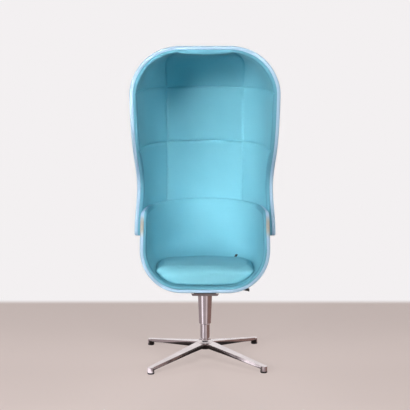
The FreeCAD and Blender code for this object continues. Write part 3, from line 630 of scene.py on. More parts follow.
@dataclass
class Studio:
    """Plain pale floor with a painted reflection for metal, soft boxes, faint ambient light and the
    camera.
    """

    camera_place: Place = (0.0, -5.06, 1.41)
    camera_pitch: float = 82.0
    lens: float = 101.0
    floor_reach: float = 60.0
    floor_colour: Colour = linear(229, 213, 208)
    floor_glow: float = 0.60
    bounce_cut: float = 0.8
    wall_y: float = 1.14
    wall_blur: float = 0.06
    backdrop_colour: Colour = linear(243, 240, 241)
    backdrop_start: float = 2.4
    backdrop_end: float = 4.0
    # Colours of the painted reflection that polished metal mirrors, with painted shade under the
    # chair and the reach of that shade.
    painted_reflection_front: Colour = linear(170, 158, 162)
    painted_reflection_left: Colour = linear(160, 147, 149)
    painted_reflection_right: Colour = linear(136, 110, 104)
    painted_reflection_behind: Colour = linear(128, 116, 116)
    painted_shade_under: Colour = linear(120, 108, 107)
    painted_shade_reach: float = 0.31
    painted_shade_end: float = 0.38
    # Painted highlights: bright stripes that polished metal mirrors, by bearing, half width, fade
    # edge and colour.
    painted_highlight_stripes: tuple[tuple[float, float, float, Colour], ...] = (
        (-0.82, 0.16, 0.30, (1.30, 1.22, 1.30, 1.0)),
        (0.46, 0.12, 0.26, linear(220, 206, 208)),
    )
    boxes: tuple[tuple[str, float, float, float, float, float, float], ...] = (
        ("hood_box", -16.0, 16.0, 1.5, 0.6, 20.0, 1.00),
        ("left_box", -42.0, 13.0, 56.0, 0.8, 180.0, 0.85),
        ("right_box", 42.0, 14.0, 36.0, 0.8, 180.0, 0.85),
        ("low_box", -28.0, 5.0, 34.0, 1.2, 180.0, 0.85),
        ("top_box", 8.0, 36.0, 28.0, 1.2, 180.0, 0.85),
        ("seat_box", -6.0, 0.0, 0.24, 0.5, 8.0, 0.37),
        ("rear_left_box", -115.0, 22.0, 1.3, 0.8, 26.0, 0.85),
        ("rear_right_box", 115.0, 22.0, 1.3, 0.8, 26.0, 0.85),
        ("rear_box", 180.0, 24.0, 1.1, 0.8, 26.0, 0.85),
    )
    box_reach: float = 4.0
    ambient: float = 0.025
    ambient_colour: Colour = linear(238, 240, 244)

    def light(self, name: str, bearing: float, elevation: float, power: float,
              side: float, spread: float, aim_height: float) -> None:
        """Adds one soft box that points at the chair.

        Args:
            name: the lamp's name.
            bearing: degrees to the right of the camera's side.
            elevation: degrees above the point that it aims at.
            power: its power in watts.
            side: the side of its square face.
            spread: how wide its grid lets the light out, in degrees.
            aim_height: the height that it aims at.
        """
        turn, rise = math.radians(bearing), math.radians(elevation)
        away = Vector((math.sin(turn) * math.cos(rise), -math.cos(turn) * math.cos(rise),
                       math.sin(rise)))
        place = Vector((0, 0, aim_height)) + self.box_reach * away
        bpy.ops.object.light_add(type="AREA", location=place)
        lamp = bpy.context.object
        lamp.name = name
        lamp.data.energy = power
        lamp.data.size = side
        lamp.data.spread = math.radians(spread)
        lamp.visible_glossy = False
        lamp.rotation_euler = (-away).to_track_quat("-Z", "Y").to_euler()

    def background(self, nodes: NodeTree, paths: Sequence[Socket]) -> Socket:
        """A mask of camera, glossy and transmission rays."""
        seen = nodes.math("MAXIMUM", paths["Is Camera Ray"], paths["Is Glossy Ray"])
        return nodes.math("MAXIMUM", seen, paths["Is Transmission Ray"])

    def make_world(self) -> None:
        """Lights the room evenly and shows the backdrop colour behind it, darkened for glossy rays
        behind and low as a painted reflection.
        """
        world = bpy.data.worlds.new("studio")
        world.use_nodes = True
        bpy.context.scene.world = world
        nodes = NodeTree(world.node_tree)
        ambient = nodes.add("Background", {0: self.ambient_colour, 1: self.ambient})
        paths = nodes.add("LightPath").outputs
        axes = nodes.axes(nodes.add("TexCoord").outputs["Generated"])
        behind = nodes.remap(axes[1], -0.45, 0.0)
        low = nodes.remap(axes[2], 0.25, 0.7)
        # Painted reflection: glossy rays that look behind and low see a dimmer colour.
        painted_dim_reflection = nodes.math("MULTIPLY", nodes.math("MULTIPLY", behind, low), paths["Is Glossy Ray"])
        colour = nodes.mix(painted_dim_reflection, self.backdrop_colour, self.painted_reflection_behind)
        shown = nodes.add("Background", {0: colour, 1: 1.0})
        nodes.feed(nodes.tree.nodes["World Output"].inputs[0],
                   nodes.mix_shaders(self.background(nodes, paths), ambient.outputs[0],
                                     shown.outputs[0]))

    def painted_reflection(self, nodes: NodeTree, ground: Sequence[Socket]) -> Socket:
        """A painted reflection for polished metal: a dim room with two bright stripes of painted
        highlight, and painted shade close to the chair.

        Args:
            nodes: the tree to work in.
            ground: the floor's coordinates.

        Returns:
            The colour of the painted reflection.
        """
        bearing = nodes.math("ARCTAN2", ground[0], nodes.math("MULTIPLY", ground[1], -1.0))
        left = nodes.remap(bearing, -1.2, -0.9)
        right = nodes.remap(bearing, 0.66, 0.95, 0.0, 1.0)
        colour = nodes.mix(left, self.painted_reflection_front, self.painted_reflection_left)
        colour = nodes.mix(right, colour, self.painted_reflection_right)
        for centre, half, edge, bright in self.painted_highlight_stripes:
            gap = nodes.math("ABSOLUTE", nodes.math("SUBTRACT", bearing, centre))
            colour = nodes.mix(nodes.remap(gap, half, edge), colour, bright)
        # Painted shade: the mirrored floor turns dark close to the chair.
        near = nodes.remap(nodes.reach(ground), self.painted_shade_reach, self.painted_shade_end)
        return nodes.mix(near, colour, self.painted_shade_under)

    def make_floor(self) -> None:
        """A plain floor that ends at the plain colour of the wall behind the chair; glossy rays see a
        painted reflection on it.
        """
        bpy.ops.mesh.primitive_circle_add(vertices=96, radius=self.floor_reach, fill_type="NGON")
        floor = bpy.context.object
        floor.name = "studio_floor"
        nodes = Surface("studio_floor")
        place = nodes.places["Object"]
        ground = nodes.axes(place)
        paths = nodes.add("LightPath").outputs
        cut = nodes.math("MULTIPLY", paths["Is Diffuse Ray"], self.bounce_cut)
        nodes.paint({
            "Base Color": nodes.mix(cut, self.floor_colour, (0.0, 0.0, 0.0, 1.0)),
            "Roughness": 0.8,
            "Specular IOR Level": 0.1,
        })
        seen = self.background(nodes, paths)
        shader = nodes.mix_shaders(nodes.math("MULTIPLY", seen, self.floor_glow),
                                   nodes.shader.outputs[0], nodes.emission(self.floor_colour))
        distance = nodes.add("VectorMath", {0: place}, operation="LENGTH").outputs["Value"]
        beyond = nodes.math(
            "MAXIMUM",
            nodes.remap(ground[1], self.wall_y - self.wall_blur, self.wall_y + self.wall_blur,
                        0.0, 1.0),
            nodes.remap(distance, self.backdrop_start, self.backdrop_end, 0.0, 1.0))
        shader = nodes.mix_shaders(nodes.math("MULTIPLY", beyond, seen), shader,
                                   nodes.emission(self.backdrop_colour))
        # Painted reflection: glossy rays see the painted room instead of the floor.
        shader = nodes.mix_shaders(paths["Is Glossy Ray"], shader,
                                   nodes.emission(self.painted_reflection(nodes, ground)))
        nodes.feed(nodes.tree.nodes["Material Output"].inputs[0], shader)
        floor.data.materials.append(nodes.material)

    def build(self) -> None:
        """Sets up the whole studio."""
        for box in self.boxes:
            self.light(*box)
        self.make_world()
        self.make_floor()
        bpy.ops.object.camera_add(location=self.camera_place,
                                  rotation=(math.radians(self.camera_pitch), 0, 0))
        camera = bpy.context.object
        camera.name = "camera"
        camera.data.lens = self.lens
        camera.data.sensor_width = 36.0
        scene = bpy.context.scene
        scene.camera = camera
        scene.view_settings.view_transform = "Standard"
        log.info("studio: %d soft boxes, floor and camera", len(self.boxes))


# Metalwork


@dataclass
class Metalwork:
    """The machined, cast and moulded parts, dressed where the frame puts them."""

    slots: ClassVar[dict[Slot, tuple[str, ...]]] = {
        # The star base gets the polished finish with its painted shade band.
        Slot.COATED_CASTING: ("star_base",),
        Slot.POLISHED_ALUMINIUM: ("cover_sleeve", "mount_plate"),
        Slot.POLISHED_TUBE: ("stand_tube",),
        Slot.CHROME_ROD: ("piston_rod",),
        Slot.BLACK_STEEL: ("lift_tube", "lift_housing", "lever_arm"),
        Slot.BLACK_NYLON: ("glide_rear_right", "glide_rear_left", "glide_front_left",
                           "glide_front_right", "lift_gland", "lever_grip"),
        Slot.PALE_NYLON: ("guide_bush", "thrust_washer"),
        Slot.BLACK_RUBBER: ("bump_buffer", "piston_seal", "hood_spacers"),
        Slot.BLACK_WEBBING: ("hook_tapes", "cushion_tab"),
        Slot.SHELL_FABRIC: ("tub_shell", "hood_shell"),
        Slot.PAD_FABRIC: ("tub_liner", "hood_liner", "seat_cushion"),
    }

    def build(self) -> None:
        """Dresses every node of the frame, in zinc plate where no slot names it."""
        slot_of = {name: slot for slot, names in self.slots.items() for name in names}
        for name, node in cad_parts.items():
            material = material_of(slot_of.get(name, Slot.ZINC_STEEL))
            node.data.materials.clear()
            node.data.materials.append(material)
            log.info("%s: %s", name, material.name)


# Lines and points


class Finder:
    """Finds the nearest of many fixed points, in plan or in space."""

    def __init__(self, points: Array) -> None:
        """Sorts the points.

        Args:
            points: places in plan or in space.
        """
        self.tree = KDTree(len(points))
        for index, point in enumerate(points):
            self.tree.insert(Vector(point).to_3d(), index)
        self.tree.balance()

    def nearest(self, points: Array) -> tuple[Array, Array]:
        """Numbers of the nearest points, and how far away they are."""
        numbers, distances = zip(*(self.tree.find(Vector(point).to_3d())[1:] for point in points))
        return np.array(numbers), np.array(distances)


def length_along(points: Array) -> Array:
    """The length along a polyline at each of its points."""
    return np.concatenate([[0], np.cumsum(np.linalg.norm(np.diff(points, axis=0), axis=1))])


def sample(wanted: Array, lengths: Array, table: Array) -> Array:
    """Rows of a table at the wanted lengths, read between its own rows."""
    return np.stack([np.interp(wanted, lengths, column) for column in table.T], axis=-1)


def share_out(points: Array, shares: Array) -> Array:
    """Points at given shares of a polyline's length."""
    lengths = length_along(points)
    return sample(shares * lengths[-1], lengths, points)


def stretch(marks: Sequence[float], index: int, shares: Array) -> Array:
    """Lengths at given shares of the stretch that follows a mark."""
    return marks[index] + shares * (marks[index + 1] - marks[index])


def fill_patch(low: Array, high: Array, near: Array, far: Array, across: Array,
               along: Array) -> Array:
    """Fills a four-sided patch between its edges.

    Args:
        low: points of the first row.
        high: points of the last row.
        near: first points of all rows.
        far: last points of all rows.
        across: shares of the columns.
        along: shares of the rows.

    Returns:
        The points as rows of columns.
    """
    u, v = across[None, :, None], along[:, None, None]
    ruled = (1 - v) * low[None] + v * high[None] + (1 - u) * near[:, None] + u * far[:, None]
    corners = ((1 - v) * ((1 - u) * low[0] + u * low[-1])
               + v * ((1 - u) * high[0] + u * high[-1]))
    return ruled - corners


def spaced(length: float, cell: float, first: Sequence[float], last: Sequence[float]) -> Array:
    """Shares of a length with even cells in its middle and given ones at its ends.

    Args:
        length: the whole length.
        cell: the even spacing in the middle.
        first: distances from the start.
        last: distances from the end.

    Returns:
        The shares from 0 to 1.
    """
    start, end = (first[-1] if first else 0.0), (last[-1] if last else 0.0)
    count = max(2, round((length - start - end) / cell))
    middle = np.linspace(start, length - end, count + 1)
    places = np.concatenate([[0.0] if first else [], list(first)[:-1], middle,
                             [length - gap for gap in list(last)[-2::-1]],
                             [length] if last else []])
    return places / length


def straight(start: Array, end: Array, step: float = 0.004) -> Array:
    """Points of a straight line."""
    count = max(2, round(float(np.linalg.norm(end - start)) / step))
    return start + np.linspace(0, 1, count)[:, None] * (end - start)


def smooth_through(points: Array, start: Array, end: Array, step: float = 0.002) -> Array:
    """A smooth line through points with given directions at its ends.

    Args:
        points: the points to pass.
        start: direction at the first point.
        end: direction at the last point.
        step: spacing of the result.

    Returns:
        Points of the line.
    """
    chords = np.linalg.norm(np.diff(points, axis=0), axis=1)
    count = len(points)
    matrix = np.zeros((count, count))
    right = np.zeros((count, 2))
    matrix[0, 0] = matrix[-1, -1] = 1
    right[0], right[-1] = start, end
    for index in range(1, count - 1):
        before, after = chords[index - 1], chords[index]
        matrix[index, index - 1:index + 2] = (after, 2 * (before + after), before)
        right[index] = 3 * (after * (points[index] - points[index - 1]) / before
                            + before * (points[index + 1] - points[index]) / after)
    slopes = np.linalg.solve(matrix, right)
    line = []
    for index, chord in enumerate(chords):
        t = np.linspace(0, 1, max(3, round(chord / step)))[:, None]
        t = t if index == count - 2 else t[:-1]
        line.append((2 * t ** 3 - 3 * t ** 2 + 1) * points[index]
                    + (t ** 3 - 2 * t ** 2 + t) * chord * slopes[index]
                    + (3 * t ** 2 - 2 * t ** 3) * points[index + 1]
                    + (t ** 3 - t ** 2) * chord * slopes[index + 1])
    return np.concatenate(line)


def turn_between(start: Array, middle: Array, end: Array, radius: float,
                 count: int = 24) -> tuple[Array, Array]:
    """Rounds a corner of a side view and halves the arc.

    Args:
        start: a point on the first leg.
        middle: the corner.
        end: a point on the second leg.
        radius: the radius of the arc.
        count: points on each half.

    Returns:
        The first half of the arc and its second half.
    """
    first, second = ((leg - middle) / np.linalg.norm(leg - middle) for leg in (start, end))
    half = math.acos(float(np.dot(first, second))) / 2
    bisector = (first + second) / np.linalg.norm(first + second)
    centre = middle + bisector * radius / math.sin(half)
    spokes = [middle + leg * radius / math.tan(half) - centre for leg in (first, second)]
    tip = -bisector * radius
    shares = np.linspace(0, 1, count)[:, None]
    halves = []
    for one, other in ((spokes[0], tip), (tip, spokes[1])):
        arc = one * (1 - shares) + other * shares
        arc *= radius / np.linalg.norm(arc, axis=1)[:, None]
        halves.append(centre + arc)
    return halves[0], halves[1]


# Bent shells


@dataclass
class PlanCurve:
    """One side of a shell's plan: an elliptical back and a flared straight side.

    Args:
        half_width: half the width of the elliptical part.
        back_y: the depth of the back.
    """

    half_width: float
    back_y: float

    centre_y: ClassVar[float] = -0.100
    front_y: ClassVar[float] = -0.420
    flare: ClassVar[float] = math.radians(3.86)
    back_reach: ClassVar[float] = 0.45
    step: ClassVar[float] = 0.0005
    arc_count: ClassVar[int] = 4000
    side_count: ClassVar[int] = 400

    def __post_init__(self) -> None:
        """Samples the curve by its length from the middle of the back."""
        half_depth = self.back_y - self.centre_y
        leave = math.atan(half_depth / self.half_width * math.tan(self.flare))
        angles = np.linspace(math.pi / 2, leave, self.arc_count)
        arc = np.stack([self.half_width * np.cos(angles),
                        self.centre_y + half_depth * np.sin(angles)], axis=1)
        reach = (arc[-1, 1] - self.front_y) / math.cos(self.flare)
        way = np.array([math.sin(self.flare), -math.cos(self.flare)])
        side = arc[-1] + np.linspace(0, reach, self.side_count)[1:, None] * way
        dense = np.concatenate([arc, side])
        lengths = length_along(dense)
        self.runs = np.arange(0, lengths[-1], self.step)
        self.points = sample(self.runs, lengths, dense)
        tangents = np.gradient(self.points, self.runs, axis=0)
        tangents[0] = (1, 0)
        self.tangents = tangents / np.linalg.norm(tangents, axis=1)[:, None]
        inward = np.stack([self.tangents[:, 1], -self.tangents[:, 0]], axis=1)
        self.table = np.concatenate([self.points, inward], axis=1)
        self.finder = Finder(self.points)

    def at(self, run: Array) -> tuple[Array, Array]:
        """Points of the curve and its inward normals.

        Args:
            run: signed lengths from the middle of the back.

        Returns:
            The points and the unit normals.
        """
        values = sample(np.abs(run), self.runs, self.table)
        values[..., ::2] *= np.where(run < 0, -1.0, 1.0)[..., None]
        normals = values[..., 2:]
        return values[..., :2], normals / np.linalg.norm(normals, axis=-1, keepdims=True)

    def run_at_y(self, y: Array) -> Array:
        """The length at which the curve passes a depth."""
        return np.interp(-y, -self.points[:, 1], self.runs)

    def run_at_x(self, x: float) -> float:
        """The length at which the back passes a width."""
        back = self.runs < self.back_reach
        return np.sign(x) * np.interp(abs(x), self.points[back, 0], self.runs[back])

    def nearest(self, points: Array) -> tuple[Array, Array]:
        """Where along the curve plan points lie, and how far inside it.

        Args:
            points: plan points.

        Returns:
            Their signed runs and their distances.
        """
        side = np.where(points[:, 0] < 0, -1.0, 1.0)
        folded = np.stack([np.abs(points[:, 0]), points[:, 1]], axis=1)
        found = self.finder.nearest(folded)[0]
        along = np.einsum("ij,ij->i", folded - self.points[found], self.tangents[found])
        runs = np.clip(self.runs[found] + along, 0, self.runs[-1])
        base = sample(runs, self.runs, self.points)
        return side * runs, np.linalg.norm(folded - base, axis=1)


@dataclass
class Relief:
    """What the padding adds to a lining: seams, the swelling between them, a hem and a sag."""

    seam_depth: float = 0.0056
    seam_width: float = 0.0032
    swell: float = 0.006
    swell_reach: float = 0.016
    edge_fade: float = 0.006
    hem: float = 0.019
    hem_depth: float = 0.0024
    hem_width: float = 0.0035
    sag: float = 0.006
    sag_reach: float = 0.10
    sag_half_width: float = 0.116
    sag_front_y: float = -0.300
    sag_low_z: float = 1.25

    def height(self, points: Array, seams: Finder, edges: Finder) -> Array:
        """How far points of the padding stand proud.

        Args:
            points: points of the plain surface.
            seams: finds points of the seams.
            edges: finds points of the free edge.

        Returns:
            Heights above the plain surface, negative in the seams.
        """
        seam, edge = seams.nearest(points)[1], edges.nearest(points)[1]
        soft = (1 - np.exp(-seam / self.swell_reach)) * (1 - np.exp(-edge / self.swell_reach))
        fade = 1 - np.exp(-edge / self.edge_fade)
        sunk = self.seam_depth * fade * np.exp(-((seam / self.seam_width) ** 2))
        turned = self.hem_depth * np.exp(-(((edge - self.hem) / self.hem_width) ** 2))
        return self.swell * soft - sunk - turned + self.sagging(points)

    def sagging(self, points: Array) -> Array:
        """The sag behind the middle of the top's front edge.

        Args:
            points: points of the plain surface.

        Returns:
            How far they hang down.
        """
        across = np.clip(1 - (points[:, 0] / self.sag_half_width) ** 2, 0, 1)
        back = np.exp(-np.maximum(points[:, 1] - self.sag_front_y, 0) / self.sag_reach)
        return self.sag * across * back * (points[:, 2] > self.sag_low_z)


@dataclass
class BentShell:
    """A bent wall with a large rounding and a cap, open at the front.

    A place on its net is a run along the plan and a rise along the surface, which is 0 where
    the rounding starts.

    Args:
        plan: the outer plan curve.
        radius: the large rounding between wall and cap.
        cap_z: height of the cap at a depth.
        upward: 1 where the cap is on top, -1 where it is below.
        free_edge: side view of the front edge, from the cap to its corner.
        far_edge: side view of the edge from that corner to the back.
        spine_x: half the width of the middle strip at the back.
        spine_front_x: half its width at the front.
        spine_turn_y: the depth at which it starts to change.
        cell: the size of the mesh's cells.
        cross_z: heights of the cross seams on the middle strip.
        cross_drop: how far each one falls to the front edge.
    """

    plan: PlanCurve
    radius: float
    cap_z: Callable[[Array], Array]
    upward: float
    free_edge: Array
    far_edge: Array
    spine_x: float
    spine_front_x: float
    spine_turn_y: float
    cell: float = 0.015
    cross_z: tuple[float, ...] = ()
    cross_drop: tuple[float, ...] = ()

    fine: ClassVar[tuple[float, ...]] = (0.0022, 0.005, 0.010, 0.018)
    edge: ClassVar[tuple[float, ...]] = (0.007, 0.013, 0.0165, 0.0195, 0.0235, 0.030)
    side_run: ClassVar[float] = 0.45
    wall_count: ClassVar[int] = 160
    cap_count: ClassVar[int] = 420
    cross_count: ClassVar[int] = 60
    side_passes: ClassVar[int] = 4
    cross_passes: ClassVar[int] = 5
    spine_ease: ClassVar[float] = 1.5
    seam_step: ClassVar[float] = 0.001
    merge: ClassVar[float] = 0.0009
    touch: ClassVar[float] = 1e-5
    face_round: ClassVar[float] = 0.006
    back_round: ClassVar[float] = 0.0012
    # Reach and fades of the painted shade along the turned hem.
    hem_shade_reach: ClassVar[float] = 0.021
    hem_shade_fade: ClassVar[float] = 0.004
    hem_shade_end_y: ClassVar[float] = 0.040
    hem_shade_end_fade: ClassVar[float] = 0.060

    def place(self, net: Array, inset: Array | float = 0.0) -> Array:
        """Puts net places into space.

        Args:
            net: runs and rises.
            inset: how far the places are drawn in from the outside.

        Returns:
            The points.
        """
        run, rise = net[..., 0], net[..., 1]
        base, normal = self.plan.at(run)
        turn = np.clip(rise / self.radius, 0, math.pi / 2)
        over = np.maximum(rise - self.radius * math.pi / 2, 0)
        inward = self.radius - (self.radius - inset) * np.cos(turn) + over
        ground = base + normal * inward[..., None]
        height = (self.radius - inset) * np.sin(turn) - self.radius + np.minimum(rise, 0)
        z = self.cap_z(ground[..., 1]) + self.upward * height
        return np.concatenate([ground, z[..., None]], axis=-1)

    def rise_of(self, y: Array, z: Array) -> Array:
        """The rise at which the outside of the wall has a depth and a height.

        Args:
            y: the depth.
            z: the height.

        Returns:
            The rise.
        """
        height = self.upward * (z - self.cap_z(y)) + self.radius
        turn = np.arcsin(np.clip(height / self.radius, 0, 1))
        return np.where(height < 0, height, self.radius * turn)

    def over_cap(self, inside: Array) -> tuple[Array, Array]:
        """The turn of the rounding and the rise at a distance inside the plan."""
        turn = np.arccos(np.clip((self.radius - inside) / self.radius, 0, 1))
        return turn, self.radius * turn + np.maximum(inside - self.radius, 0)

    def on_side(self, edge: Array) -> Array:
        """Net places of an edge that is drawn in side view.

        Args:
            edge: depths and heights of the edge.

        Returns:
            Runs and rises.
        """
        rise = self.rise_of(edge[:, 0], edge[:, 1])
        inward = self.radius * (1 - np.cos(np.clip(rise / self.radius, 0, math.pi / 2)))
        run = self.plan.run_at_y(edge[:, 0])
        for _ in range(self.side_passes):
            normal = self.plan.at(run)[1]
            run = self.plan.run_at_y(edge[:, 0] - normal[:, 1] * inward)
        return np.stack([run, rise], axis=1)

    def spine_width(self, y: Array) -> Array:
        """Half the width of the middle strip.

        Args:
            y: the depth.

        Returns:
            Half its width there.
        """
        share = (self.spine_turn_y - y) / (self.spine_turn_y - self.free_edge[0, 0])
        eased = np.clip(share, 0, 1) ** self.spine_ease
        return self.spine_x + (self.spine_front_x - self.spine_x) * eased

    def strip_path(self, share: float) -> tuple[Array, Array]:
        """A line of the middle strip from the far edge over the rounding to the front.

        Args:
            share: where across the strip, from -1 to 1.

        Returns:
            The points of the outside, and their net places.
        """
        run = self.plan.run_at_x(share * self.spine_x)
        back_y = self.plan.at(np.array(run))[0][1]
        far_z = np.interp(back_y, self.far_edge[:, 0], self.far_edge[:, 1])
        rises = np.linspace(float(self.rise_of(back_y, far_z)), 0, self.wall_count)
        wall = np.stack([np.full(rises.shape, run), rises], axis=1)
        eased = np.linspace(0, 1, self.cap_count)[1:] ** 2
        y = back_y + (self.free_edge[0, 0] - back_y) * eased
        ground = np.stack([share * self.spine_width(y), y], axis=1)
        runs, inside = self.plan.nearest(ground)
        turn, rises = self.over_cap(inside)
        height = self.radius * np.sin(turn) - self.radius
        cap = np.concatenate([ground, (self.cap_z(y) + self.upward * height)[:, None]], axis=1)
        nets = np.concatenate([wall, np.stack([runs, rises], axis=1)])
        return np.concatenate([self.place(wall), cap]), nets

    def knots(self, points: Array) -> list[float]:
        """Lengths along a line of the strip at its far edge, cross seams, turn and front.

        Args:
            points: the line's points.

        Returns:
            The lengths.
        """
        lengths = length_along(points)
        turn = int(np.argmax(points[:, 1] < self.spine_turn_y))
        found = [0.0]
        for height in self.cross_z:
            index = int(np.argmax(self.upward * (points[:turn, 2] - height) >= 0))
            share = (height - points[index - 1, 2]) / (points[index, 2] - points[index - 1, 2])
            found.append(stretch(lengths, index - 1, share))
        return found + [lengths[turn], lengths[-1]]

    def cross_line(self, start: float, end: float, height: float, drop: float) -> Array:
        """A cross seam on the side, which falls towards the front edge.

        Args:
            start: its run at the middle strip.
            end: its run at the front edge.
            height: its height at the middle strip.
            drop: how far it falls.

        Returns:
            Its net places.
        """
        runs = np.linspace(start, end, self.cross_count)
        heights = height - drop * ((runs - start) / (end - start)) ** 2
        net = np.stack([runs, np.zeros(self.cross_count)], axis=1)
        for _ in range(self.cross_passes):
            net[:, 1] = self.rise_of(self.place(net)[:, 1], heights)
        return net

    def side_net(self, knots: list[float], bands: list[Array], columns: Array) -> Array:
        """Lays out the side with positive runs, band by band.

        Args:
            knots: lengths along the strip's edge where the bands meet.
            bands: shares of the rows in each band.
            columns: shares of the columns.

        Returns:
            Its net places.
        """
        points, spine = self.strip_path(1.0)
        lengths = length_along(points)
        rim = self.on_side(self.free_edge)
        notch = int(np.argmax(self.place(rim)[:, 0] > self.spine_front_x))
        rim = np.concatenate([spine[-1:], rim[notch:]])
        rim_lengths, rim_heights = length_along(rim), self.place(rim)[:, 2]
        far = self.on_side(self.far_edge)
        far = np.concatenate([far[far[:, 0] > spine[0, 0]], spine[:1]])[::-1]
        rows, cuts = [share_out(far, columns)], [rim_lengths[-1]]
        for knot, height, drop in zip(knots[1:], self.cross_z, self.cross_drop):
            end = int(np.argmin(np.abs(rim_heights - (height - drop))))
            start = np.interp(knot, lengths, spine[:, 0])
            rows.append(share_out(self.cross_line(start, rim[end, 0], height, drop), columns))
            cuts.append(rim_lengths[end])
        rows.append(sample(stretch(knots, len(bands), columns), lengths, spine))
        cuts.append(0.0)
        patches = []
        for index, shares in enumerate(bands):
            near = sample(stretch(knots, index, shares), lengths, spine)
            front = sample(stretch(cuts, index, shares), rim_lengths, rim)
            patch = fill_patch(rows[index], rows[index + 1], near, front, columns, shares)
            patches.append(patch[1 if index else 0:])
        return np.concatenate(patches)

    def strip_net(self, bands: list[Array], columns: Array) -> Array:
        """Lays out the middle strip, line by line.

        Args:
            bands: shares of the rows in each band of the sides.
            columns: shares of the columns of the sides, which end as rows of the strip.

        Returns:
            Its net places.
        """
        lines = []
        for share in spaced(2 * self.spine_x, self.cell, self.fine, self.fine) * 2 - 1:
            points = self.strip_path(share)[0]
            knots = self.knots(points)
            wanted = [stretch(knots, index, shares[1 if index else 0:])
                      for index, shares in enumerate([*bands, columns])]
            lines.append(sample(np.concatenate(wanted), length_along(points), points))
        strip = np.stack(lines, axis=1)
        runs, inside = self.plan.nearest(strip[..., :2].reshape(-1, 2))
        height = self.upward * (strip[..., 2] - self.cap_z(strip[..., 1])) + self.radius
        rises = self.over_cap(inside.reshape(height.shape))[1]
        return np.stack([runs.reshape(height.shape), np.where(height < 0, height, rises)], axis=-1)

    def nets(self) -> tuple[Array, Array, Array]:
        """Lays out the whole surface and keeps the rows of the cross seams.

        Returns:
            The middle strip, the side with positive runs and the other side.
        """
        knots = self.knots(self.strip_path(1.0)[0])
        last = len(knots) - 3
        bands = [spaced(knots[index + 1] - knots[index], self.cell,
                        self.fine if index else self.edge, self.fine if index < last else ())
                 for index in range(last + 1)]
        self.cross_rows = np.cumsum([len(shares) - 1 for shares in bands])[:-1]
        columns = spaced(self.side_run, self.cell, self.fine, self.edge)
        side = self.side_net(knots, bands, columns)
        return self.strip_net(bands, columns), side, side[:, ::-1] * (-1, 1)

    def line_finder(self, lines: Sequence[Array], inset: float) -> Finder:
        """Finds points of lines of the net.

        Args:
            lines: net places of each line.
            inset: the sheet that they lie on.

        Returns:
            The finder.
        """
        dense = []
        for line in lines:
            points = self.place(line, inset)
            count = max(2, round(length_along(points)[-1] / self.seam_step))
            dense.append(share_out(points, np.linspace(0, 1, count)))
        return Finder(np.concatenate(dense))

    def sheet(self, name: str, outer: float, inner: float, relief: Relief | None) -> Piece:
        """The outside of the shell as one surface that knows where its inside lies.

        Args:
            name: the sheet's name.
            outer: inset of the outside.
            inner: inset of the inside.
            relief: what the seams and the padding add to the inside, if anything.

        Returns:
            The sheet, with its inside as a point attribute.
        """
        nets = self.nets()
        strip, side, other = nets
        if relief:
            cross = [net[row] for net in nets for row in self.cross_rows]
            seams = self.line_finder([strip[:, 0], strip[:, -1], *cross], inner)
            edges = self.line_finder([side[:, -1], other[:, 0], strip[-1], *(net[0] for net in nets)],
                                     inner)
        grids = []
        for net in nets:
            rows, columns = net.shape[:2]
            deselect_all()
            bpy.ops.mesh.primitive_grid_add(x_subdivisions=columns - 1, y_subdivisions=rows - 1)
            grid = bpy.context.object
            flat = net.reshape(-1, 2)
            move_points(grid, self.place(flat, outer))
            inside = self.place(flat, inner)
            if relief:
                inside = self.place(flat, inner + relief.height(inside, seams, edges))
            layer = grid.data.attributes.new("inside", "FLOAT_VECTOR", "POINT")
            layer.data.foreach_set("vector", inside.reshape(-1))
            grids.append(grid)
        focus(*grids)
        bpy.ops.object.join()
        sheet = bpy.context.object
        sheet.name = name
        edit(sheet, bpy.ops.mesh.remove_doubles, threshold=self.merge)
        return sheet

    def upholster(self, name: str, node: str, insets: tuple[float, float],
                  relief: Relief | None = None, lining: bool = False) -> Piece:
        """Builds and dresses a closed shell with a rounded free edge.

        Args:
            name: the piece's name.
            node: the CAD node that it stands for.
            insets: how far its outside and its inside are drawn in.
            relief: what seams and padding add to its inside, if anything.
            lining: whether its inside is the side that shows, with a turned hem and painted shade
                along it.

        Returns:
            The piece.
        """
        piece = self.sheet(name, *insets, relief)
        layer = piece.data.attributes["inside"]
        skins = [points_of(piece), read(layer.data, "vector")]
        piece.data.attributes.remove(layer)
        rims = [skin[open_points(piece)] for skin in skins]
        modify(piece, "SOLIDIFY", thickness=insets[1] - insets[0])
        apply_modifiers(piece)
        move_points(piece, np.concatenate(skins))
        edit(piece, bpy.ops.mesh.normals_make_consistent, inside=False)
        roundings = (self.face_round, self.back_round)
        for rim, rounding in zip(rims, roundings[::-1] if lining else roundings):
            on_rim = Finder(rim).nearest(points_of(piece))[1] < self.touch
            edges = [edge.index for edge in piece.data.edges if on_rim[list(edge.vertices)].all()]
            edit(piece, bpy.ops.mesh.bevel, edges, offset=rounding, segments=3, affect="EDGES")
        # A lining gets painted shade along its front edges.
        if lining:
            self.paint_hem_shade(piece, Finder(np.concatenate(rims)))
        subdivide_surface(piece)
        points = points_of(piece)
        runs, inside = self.plan.nearest(points[:, :2])
        wall = np.stack([runs + np.sign(runs) * inside, points[:, 2]], axis=1)
        lay_uv(piece, (points[:, :2], wall, wall))
        dress(piece, Slot.PAD_FABRIC if lining else Slot.SHELL_FABRIC, Body.SEAT, node)
        return piece

    def paint_hem_shade(self, piece: Piece, edges: Finder) -> None:
        """Paints a band of shade along the front edges, over the turned hem, for the cloth's colour.

        Args:
            piece: the lining.
            edges: finds points of its free edges.
        """
        points = points_of(piece)
        hem = np.clip((self.hem_shade_reach - edges.nearest(points)[1]) / self.hem_shade_fade, 0, 1)
        hem *= np.clip((self.hem_shade_end_y - points[:, 1]) / self.hem_shade_end_fade, 0, 1)
        piece.data.attributes.new("hem", "FLOAT", "POINT").data.foreach_set("value", hem)


